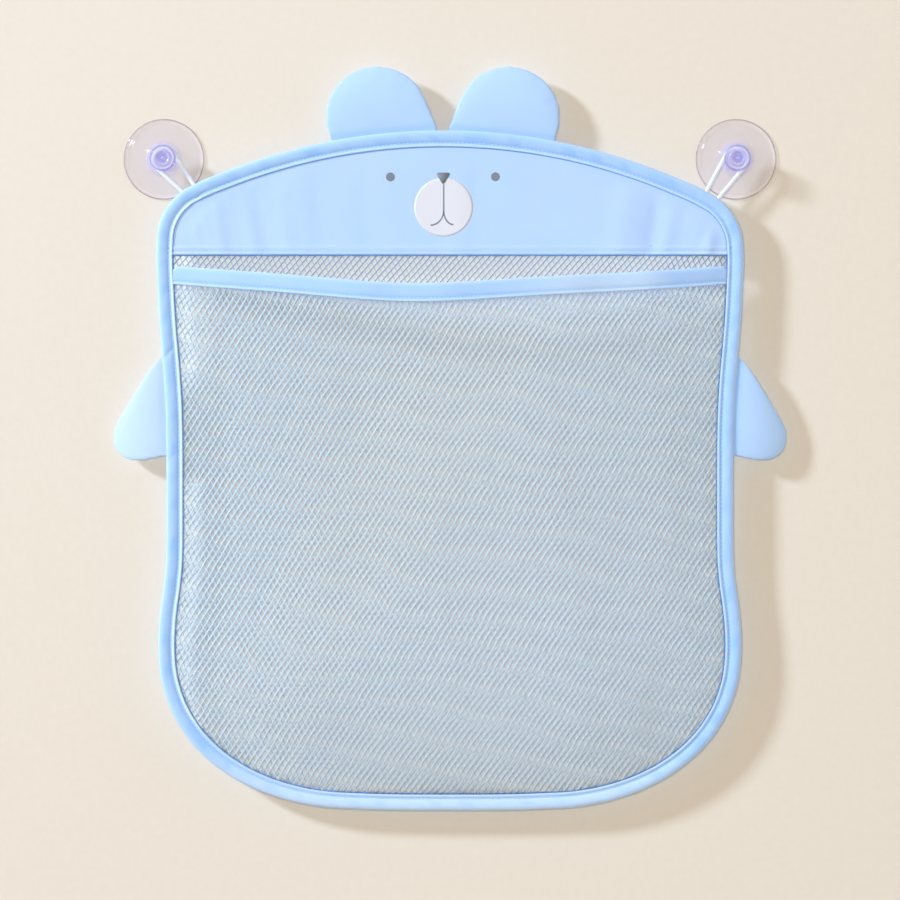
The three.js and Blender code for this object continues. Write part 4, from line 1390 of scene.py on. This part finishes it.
def pad_outline(name):
    """The flap's outline in the bag's plane, its root, and the way out of the bag."""
    joint = joints[f"{name}_fold"]
    root = flat_vector(joint["pos_m"])
    axis = flat_vector(joint["axis"])
    points = corners_of(frame["nodes"][f"{name}_front"].data)
    rim = points[points[:, 1] > points[:, 1].max() - 0.01 * MM][:, [0, 2]]
    rim = np.unique(np.round(rim, 6), axis=0)
    around = rim - rim.mean(axis=0)
    rim = rim[np.argsort(np.arctan2(around[:, 1], around[:, 0]))]
    outward = np.array([-axis[1], axis[0]])
    outward *= np.sign(((rim - root) @ outward).mean())
    height = (rim - root) @ outward
    rooted = height < 1.5 * MM
    first = next(i for i in range(len(rim)) if rooted[i - 1] and not rooted[i])
    rim, rooted = np.roll(rim, 1 - first, axis=0), np.roll(rooted, 1 - first)
    free = np.flatnonzero(~rooted)[-1] + 2
    return smooth_curve(np.vstack([rim, rim])[:free], PAD_RIM_POINTS), root, outward


def flat_pad(rim, root, outward):
    """The two layers before stuffing: an even slab, with a tail that goes under the binding."""
    tail = rim[[-1, 0]] - outward * ROOT_TAIL
    bm = bmesh.new()
    corners = [bm.verts.new((x, -STANDOFF + PAD_START, z)) for x, z in np.vstack([rim, tail])]
    bm.faces.new(corners)
    bmesh.ops.extrude_face_region(bm, geom=bm.faces[:])
    bm.verts.ensure_lookup_table()
    for vert in bm.verts[len(corners):]:
        vert.co.y -= 2 * PAD_START
    bmesh.ops.recalc_face_normals(bm, faces=bm.faces)
    return bm


def crowned(places, rim):
    """The pad's half thickness grows away from its seam."""
    flat = places[:, [0, 2]]
    away = np.min(np.linalg.norm(flat[:, None] - rim[None], axis=2), axis=1)
    crown = 1 + PAD_CROWN * (1 - np.exp(-away / PAD_SOFTNESS))
    shaped = places.copy()
    shaped[:, 1] = -STANDOFF + (places[:, 1] + STANDOFF) * crown
    return shaped


print("the left ear's pattern has", len(pad_outline("ear_left")[0]), "points")

# %% [markdown]
# The simulation runs for twenty frames with pressure inside the pad and no gravity. It leaves
# small dents, which a Smooth modifier evens out, as real wadding does. Stuffing also draws the
# rim in, so the pad is let out again to the size of its pattern.

# %% Stuffing
STUFFING_PRESSURE = 4.0
STUFFING_QUALITY = 6
STUFFING_FRAMES = 20
EVEN_SHARE = 0.5
EVEN_ROUNDS = 8
PAD_CAP = 2.6 * MM  # the furthest that a corner may move


def apply_modifiers(piece):
    finished = piece.evaluated_get(bpy.context.evaluated_depsgraph_get())
    mesh = bpy.data.meshes.new_from_object(finished)
    piece.modifiers.clear()
    piece.data = mesh


def stuff(piece, pinned):
    """Pumps the pad up with cloth pressure, and caps how far a corner may move."""
    group = piece.vertex_groups.new(name="sewn")
    group.add([int(i) for i in np.flatnonzero(pinned)], 1.0, "REPLACE")
    before = corners_of(piece.data)
    settings = piece.modifiers.new("stuffing", "CLOTH").settings
    settings.use_pressure = True
    settings.uniform_pressure_force = STUFFING_PRESSURE
    settings.effector_weights.gravity = 0
    settings.vertex_group_mass = "sewn"
    settings.quality = STUFFING_QUALITY
    for step in range(1, STUFFING_FRAMES + 1):
        bpy.context.scene.frame_set(step)
    even = piece.modifiers.new("even wadding", "SMOOTH")
    even.factor = EVEN_SHARE
    even.iterations = EVEN_ROUNDS
    apply_modifiers(piece)
    moved = corners_of(piece.data) - before
    reach = np.linalg.norm(moved, axis=1)
    share = np.minimum(1, PAD_CAP / np.maximum(reach, 1e-9))
    set_corners(piece.data, before + moved * share[:, None])
    bpy.context.scene.frame_set(1)
    return reach.max()


def to_pattern(places, rim, root, outward):
    """Lets the pad out again, until it is as large as its pattern."""
    ways = np.stack([np.array([outward[1], -outward[0]]), outward], axis=1)
    now, pattern = (places[:, [0, 2]] - root) @ ways, (rim - root) @ ways
    free = now[:, 1] > 2 * MM
    low, high = now[free, 0].min(), now[free, 0].max()
    start, end = pattern[:, 0].min(), pattern[:, 0].max()
    now[:, 0] = start + (now[:, 0] - low) * (end - start) / (high - low)
    now[:, 1] *= np.where(now[:, 1] > 0, pattern[:, 1].max() / now[:, 1].max(), 1)
    let_out = places.copy()
    let_out[:, [0, 2]] = now @ ways.T + root
    return let_out


print("stuffing:", f"{STUFFING_FRAMES} frames")

# %% [markdown]
# What is left is the sewing. The root is pressed flat where it goes under the binding, the flap
# bends back towards the wall, the paws more than the ears, and a shallow groove runs round the
# rim, where the two layers are sewn together.

# %% Ears and paws
PAD_VOXEL = 1.0 * MM
ROOT_SHARE = 0.35  # at the root the pad is pressed to this share of its thickness
ROOT_REACH = 9 * MM  # how far from the root the pressing fades
CURL_RADIUS = {"ear": 260 * MM, "paw": 80 * MM}
SEAM_DEPTH = 0.3 * MM
ROOT_SHADE = 0.35
RIM_SHADE = 0.35
PAINTED_LIGHT_PADS = {"paw_left": 0.3}  # painted light: this paw is painted paler


def finish_pad(places, root, outward, curl_radius):
    """Flattens the root and bends the flap back."""
    height = (places[:, [0, 2]] - root) @ outward
    depth = places[:, 1] + STANDOFF
    press = 1 - (1 - ROOT_SHARE) * np.exp(-np.clip(height, 0, None) / ROOT_REACH)
    curl = np.clip(height - 2 * MM, 0, None) ** 2 / (2 * curl_radius)
    shaped = places.copy()
    shaped[:, 1] = -STANDOFF + depth * press + curl
    return shaped


def seam(piece):
    """A shallow groove where the two layers are sewn together."""
    places = corners_of(piece.data)
    normals = np.empty(len(places) * 3)
    piece.data.vertices.foreach_get("normal", normals)
    normals = normals.reshape(-1, 3)
    side = np.abs(normals[:, 1]) < 0.45
    middle = np.exp(-((places[:, 1] + STANDOFF) / (0.5 * MM)) ** 2)
    return places - normals * (SEAM_DEPTH * side * middle)[:, None]


def mark_pad(piece, name, root, outward):
    """Painted shade at the root and in the seam, and painted light on a paw painted paler."""
    pad = corners_of(piece.data)
    height = (pad[:, [0, 2]] - root) @ outward
    rooted = np.exp(-np.clip(height - 0.5 * MM, 0, None) / (1.2 * MM))
    rim = np.exp(-((pad[:, 1] + STANDOFF) / (0.6 * MM)) ** 2)
    mark(piece.data, "fold", np.maximum(ROOT_SHADE * rooted, RIM_SHADE * rim))
    mark(piece.data, "edge", PAINTED_LIGHT_PADS.get(name, 0))


def padded_flap(name):
    rim, root, outward = pad_outline(name)
    piece = new_piece(f"{name}_pad", mesh_from(flat_pad(rim, root, outward), f"{name}_pad"))
    remesh = piece.modifiers.new("even quads", "REMESH")
    remesh.mode = "VOXEL"
    remesh.voxel_size = PAD_VOXEL
    apply_modifiers(piece)
    set_corners(piece.data, crowned(corners_of(piece.data), rim))
    height = (corners_of(piece.data)[:, [0, 2]] - root) @ outward
    swelled = stuff(piece, height < 0.3 * MM)
    set_corners(piece.data, to_pattern(seam(piece), rim, root, outward))
    mark_pad(piece, name, root, outward)
    curl_radius = CURL_RADIUS[name.split("_")[0]]
    set_corners(piece.data, finish_pad(corners_of(piece.data), root, outward, curl_radius))
    for face in piece.data.polygons:
        face.use_smooth = True
    piece.data.materials.clear()
    piece.data.materials.append(pad_cloth)
    soft = piece.modifiers.new("smooth cloth", "SUBSURF")
    soft.levels = soft.render_levels = 1
    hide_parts(f"{name}_front", f"{name}_back", f"{name}_wadding")
    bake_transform(piece)
    return swelled, np.ptp(corners_of(piece.data)[:, 1])


for flap in ("ear_left", "ear_right", "paw_left", "paw_right"):
    swelled, thickness = padded_flap(flap)
    print(flap, "swelled by", round(swelled / MM, 2), "mm; depth", round(thickness / MM, 2), "mm")

# %% [markdown]
# ## The suction cups
# A cup is moulded in one piece: a thin disc with a rounded rim, a boss, a neck that the cord runs
# round, and a mushroom knob with a dimple. That is a turned shape, so its profile is spun about
# its axis. The thick knob looks violet because the vinyl's faint tint adds up, so it has its own
# finish.

# %% Profile of a cup
# Radius and height above the wall, in millimetres: the hollow side, the disc's rim and its face,
# the boss, the neck and the knob.
CUP_PROFILE = [
    (0, 1.2), (8, 1.05), (16.5, 0.5), (19.0, 0.03), (19.6, 0), (22.1, 0),
    (22.4, 0.1), (22.5, 0.3), (22.48, 0.55), (22.3, 0.85), (22.0, 1.02), (21.7, 1.04),
    (21.4, 0.92), (21.2, 0.72), (21.0, 0.66), (20.8, 0.74), (20.4, 0.98), (20.0, 1.23),
    (19.5, 1.56), (18.9, 1.94), (18.4, 2.18), (17.6, 2.4), (16.2, 2.56), (14.2, 2.7),
    (12.4, 2.95), (11.2, 3.4), (10.5, 3.9), (10.0, 4.35), (9.4, 4.6), (9.0, 4.9),
    (8.9, 5.4), (8.9, 6.6), (8.75, 7.3), (8.3, 7.8), (7.6, 7.98), (6.6, 7.98),
    (5.8, 7.7), (4.6, 7.7), (3.8, 8.1), (3.5, 8.8), (3.5, 12.2), (3.7, 12.8), (4.3, 13.0),
    (6.0, 13.0), (7.0, 13.25), (7.4, 13.9), (7.4, 15.3), (7.3, 16.1), (6.95, 16.7),
    (6.4, 16.95), (5.9, 16.85), (5.55, 16.6), (5.2, 16.6), (4.9, 16.85), (4.5, 17.3),
    (4.0, 17.55), (3.4, 17.4), (3.0, 17.0), (2.6, 16.85), (2.2, 16.95), (1.8, 17.0),
    (1.4, 16.7), (0.9, 16.6), (0.45, 16.8), (0, 16.85)]
print("a cup is", max(height for _, height in CUP_PROFILE), "mm high")

# %% Cups
KNOB_START = 12.5 * MM  # above this height the vinyl is thick
CUP_STEPS = 72


def suction_cup(side_name):
    centre = Vector(joints[f"cup_{side_name}_spin"]["pos_m"])
    bm = bmesh.new()
    verts = [bm.verts.new((centre.x + r * MM, -h * MM, centre.z)) for r, h in CUP_PROFILE]
    for start, end in zip(verts[:-1], verts[1:]):
        bm.edges.new((start, end))
    bmesh.ops.spin(bm, geom=bm.verts[:] + bm.edges[:], cent=(centre.x, 0, centre.z),
                   axis=(0, 1, 0), angle=math.tau, steps=CUP_STEPS, use_merge=True)
    bmesh.ops.remove_doubles(bm, verts=bm.verts, dist=WELD)
    bmesh.ops.recalc_face_normals(bm, faces=bm.faces)
    for face in bm.faces:
        face.material_index = int(face.calc_center_median().y < -KNOB_START)
    mesh = mesh_from(bm, f"cup_{side_name}_moulding")
    across = corners_of(mesh)[:, [0, 2]] - (centre.x, centre.z)
    mark(mesh, "spread", np.linalg.norm(across, axis=1) / CUP_RADIUS)
    piece = new_piece(f"cup_{side_name}_moulding", mesh, cup_vinyl, knob_vinyl)
    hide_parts(f"suction_cup_{side_name}")
    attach(piece, f"cup_{side_name}")
    return len(mesh.polygons)


print("cups:", suction_cup("left"), suction_cup("right"), "faces")

# %% [markdown]
# ## The wall
# The bag hangs on a plain warm wall with a matt paint. The wall is one-sided: a camera or a lamp
# behind it works straight through it, so that the bag's back can be seen too. The real yarn is
# finer than the model's and lets more light through. Two numbers on the wall make up for that
# with painted light. "blue_light" paints a bluish light into the wall's colour where the light
# has come through two blue nets. The other makes it glow a little behind the bare strip of rear
# net, and behind the left edge, but only for rays that show the wall: a painted glow, which adds
# no light to the bag.

# %% Numbers on the wall
BAG_MIDDLE = Vector((0, 0, -0.16))


def behind_the_bag(x, z):
    inside = inside_outline(x, z, 0) & (z < PANEL_EDGE + 12 * MM)
    return inside * smoothstep(inset_of(x, z), 8 * MM, 18 * MM)


def through_the_net(x, z):
    """Where the wall gets a painted glow: most behind the bare strip under the panel, and nearly
    as much at the upper left edge.
    """
    strip = smoothstep(z, -78 * MM, -64 * MM)
    left_edge = 0.9 * smoothstep(-x, 126 * MM, 140 * MM) * smoothstep(z, -140 * MM, -105 * MM)
    return behind_the_bag(x, z) * np.maximum(strip, left_edge)


def blue_light(x, z):
    """Painted light: how much of the light on each place came through blue nets,
    most low down and right.
    """
    right = smoothstep(x, -80 * MM, 120 * MM)
    low = smoothstep(-z, 150 * MM, 320 * MM)
    return behind_the_bag(x, z) * (0.3 + 0.3 * right + 0.25 * low)


middle_tint = blue_light(np.array([BAG_MIDDLE.x]), np.array([BAG_MIDDLE.z]))[0]
print("behind the bag's middle the wall is", round(middle_tint, 2), "of the way to blue")

# %% Wall paint
PAINT, PAINT_SHADE = "#E9DFD0", "#E3D9C9"
# The bluish tint and the glow below are painted light.
BLUE_LIGHT = "#ECEEF4"
PAINTED_GLOW = 0.27  # the most that the wall glows, for the rays that show it
PAINTED_GLOW_COLOUR = "#EFECE8"
PLASTER_GRAIN = 4 * MM


def in_view(owner):
    """1 for the rays that show a background: the camera's, and those in gloss and clear vinyl."""
    ray = add_node(owner, "LightPath").outputs
    seen = ray["Is Camera Ray"]
    for way in ("Is Glossy Ray", "Is Transmission Ray"):
        seen = add_node(owner, "Math", {0: seen, 1: ray[way]}, operation="MAXIMUM").outputs[0]
    return seen


def painted_wall():
    """Matt emulsion paint on fine plaster: no gloss to speak of, and a faint mottle."""
    material = new_material("painted_wall")
    place = add_node(material, "TexCoord").outputs["Object"]
    mottled = uneven(material, place, PLASTER_GRAIN, 6.0, PAINT, PAINT_SHADE)
    # A painted glow, for the rays that show the wall, and a painted bluish light in its colour.
    marked = add_node(material, "Attribute", attribute_name="painted_glow").outputs["Fac"]
    glow = add_node(material, "Math", {0: marked, 1: in_view(material)}, operation="MULTIPLY")
    glow = add_node(material, "Math", {0: glow.outputs[0], 1: PAINTED_GLOW}, operation="MULTIPLY")
    paint = add_node(material, "BsdfPrincipled", {
        "Base Color": where_marked(material, "blue_light", mottled, BLUE_LIGHT),
        "Roughness": 0.9, "Specular IOR Level": 0.2,
        "Emission Color": hex_colour(PAINTED_GLOW_COLOUR), "Emission Strength": glow.outputs[0]})
    clear = add_node(material, "BsdfTransparent")
    ray = add_node(material, "LightPath").outputs
    behind = add_node(material, "NewGeometry").outputs["Backfacing"]
    seen = add_node(material, "Math", {0: ray["Is Camera Ray"], 1: behind}, operation="MULTIPLY")
    open_way = add_node(material, "Math", {0: seen.outputs[0], 1: ray["Is Shadow Ray"]},
                        operation="MAXIMUM")
    mixed = add_node(material, "MixShader", {0: open_way.outputs[0], 1: paint.outputs[0],
                                             2: clear.outputs[0]})
    return finish_material(material, mixed)


wall_paint = painted_wall()
print("wall:", wall_paint.name)

# %% Wall
WALL_GAP = 0.2 * MM
WALL_PATCH = 0.2  # half the size of the part behind the bag, which has a fine grid
WALL_SQUARES = 120
WALL_GROWTH = 15


def make_wall():
    bm = bmesh.new()
    turn = Matrix.Rotation(math.radians(90), 4, "X")
    turn = Matrix.Translation((0, WALL_GAP, BAG_MIDDLE.z)) @ turn
    bmesh.ops.create_grid(bm, x_segments=WALL_SQUARES, y_segments=WALL_SQUARES, size=WALL_PATCH,
                          matrix=turn)
    rim = [edge for edge in bm.edges if edge.is_boundary]
    grown = bmesh.ops.extrude_edge_only(bm, edges=rim)["geom"]
    bmesh.ops.scale(bm, vec=(WALL_GROWTH, 1, WALL_GROWTH), space=Matrix.Translation(-BAG_MIDDLE),
                    verts=[part for part in grown if isinstance(part, bmesh.types.BMVert)])
    wall = new_piece("wall", mesh_from(bm, "wall", smooth=False), wall_paint)
    x, _, z = corners_of(wall.data).T
    mark(wall.data, "painted_glow", through_the_net(x, z))
    mark(wall.data, "blue_light", blue_light(x, z))
    return 2 * WALL_PATCH * WALL_GROWTH


print("the wall is", round(make_wall(), 1), "m wide")

# %% [markdown]
# ## Light
# A far window, up to the left, gives cool light and the soft shadow beside the bag. A lamp next
# to the camera shines through the nets on just those bits of wall that the camera sees. A wide,
# weak lamp from the right opens the shadows on that side, and one behind the wall lights the
# bag's back for whoever looks at it from there. The world gives the even light of a bright room,
# and shows as a plain pale background.

# %% Lamps
# A direction from the bag's middle, a distance and a size in metres, watts, a colour, and whether
# the lamp shows as a highlight.
LAMPS = {"window": ((-2.0, -1.0, 1.15), 4.0, 0.5, 175, "#CFE3FF", True),
         "camera_lamp": ((-0.1, -2.6, 0.1), 2.6, 0.28, 24, "#FFF9F1", False),
         "right_fill": ((2.4, -0.75, 0.2), 3.0, 1.6, 11, "#BFDDFF", False),
         "back_lamp": ((0, 1.3, 0.3), 1.4, 0.8, 8, "#FFFBF6", True)}


def make_lamp(name, way, distance, size, energy, colour, mirrored):
    data = bpy.data.lights.new(name, "AREA")
    data.shape = "DISK"
    data.size = size
    data.energy = energy
    data.color = hex_colour(colour)[:3]
    lamp = bpy.data.objects.new(name, data)
    way = Vector(way).normalized()
    lamp.location = BAG_MIDDLE + way * distance
    lamp.rotation_mode = "QUATERNION"
    lamp.rotation_quaternion = (-way).to_track_quat("-Z", "Y")
    lamp.visible_glossy = mirrored
    bpy.context.scene.collection.objects.link(lamp)


for name, settings in LAMPS.items():
    make_lamp(name, *settings)
print("lights:", ", ".join(lamp.name for lamp in bpy.data.lights))

# %% World
ROOM_LIGHT, ROOM_COLOUR = 0.43, "#FFF4E4"
BACKGROUND = "#F0E8DE"


def make_world():
    world = bpy.data.worlds.new("bright_room")
    world.use_nodes = True
    world.node_tree.nodes.clear()
    room = add_node(world, "Background", {"Color": hex_colour(ROOM_COLOUR),
                                          "Strength": ROOM_LIGHT})
    pale = add_node(world, "Background", {"Color": hex_colour(BACKGROUND)})
    mix = add_node(world, "MixShader", {0: in_view(world), 1: room.outputs[0], 2: pale.outputs[0]})
    add_node(world, "OutputWorld", {"Surface": mix.outputs[0]})
    bpy.context.scene.world = world


make_world()
bpy.context.scene.view_settings.view_transform = "Standard"
print("world:", bpy.context.scene.world.name)
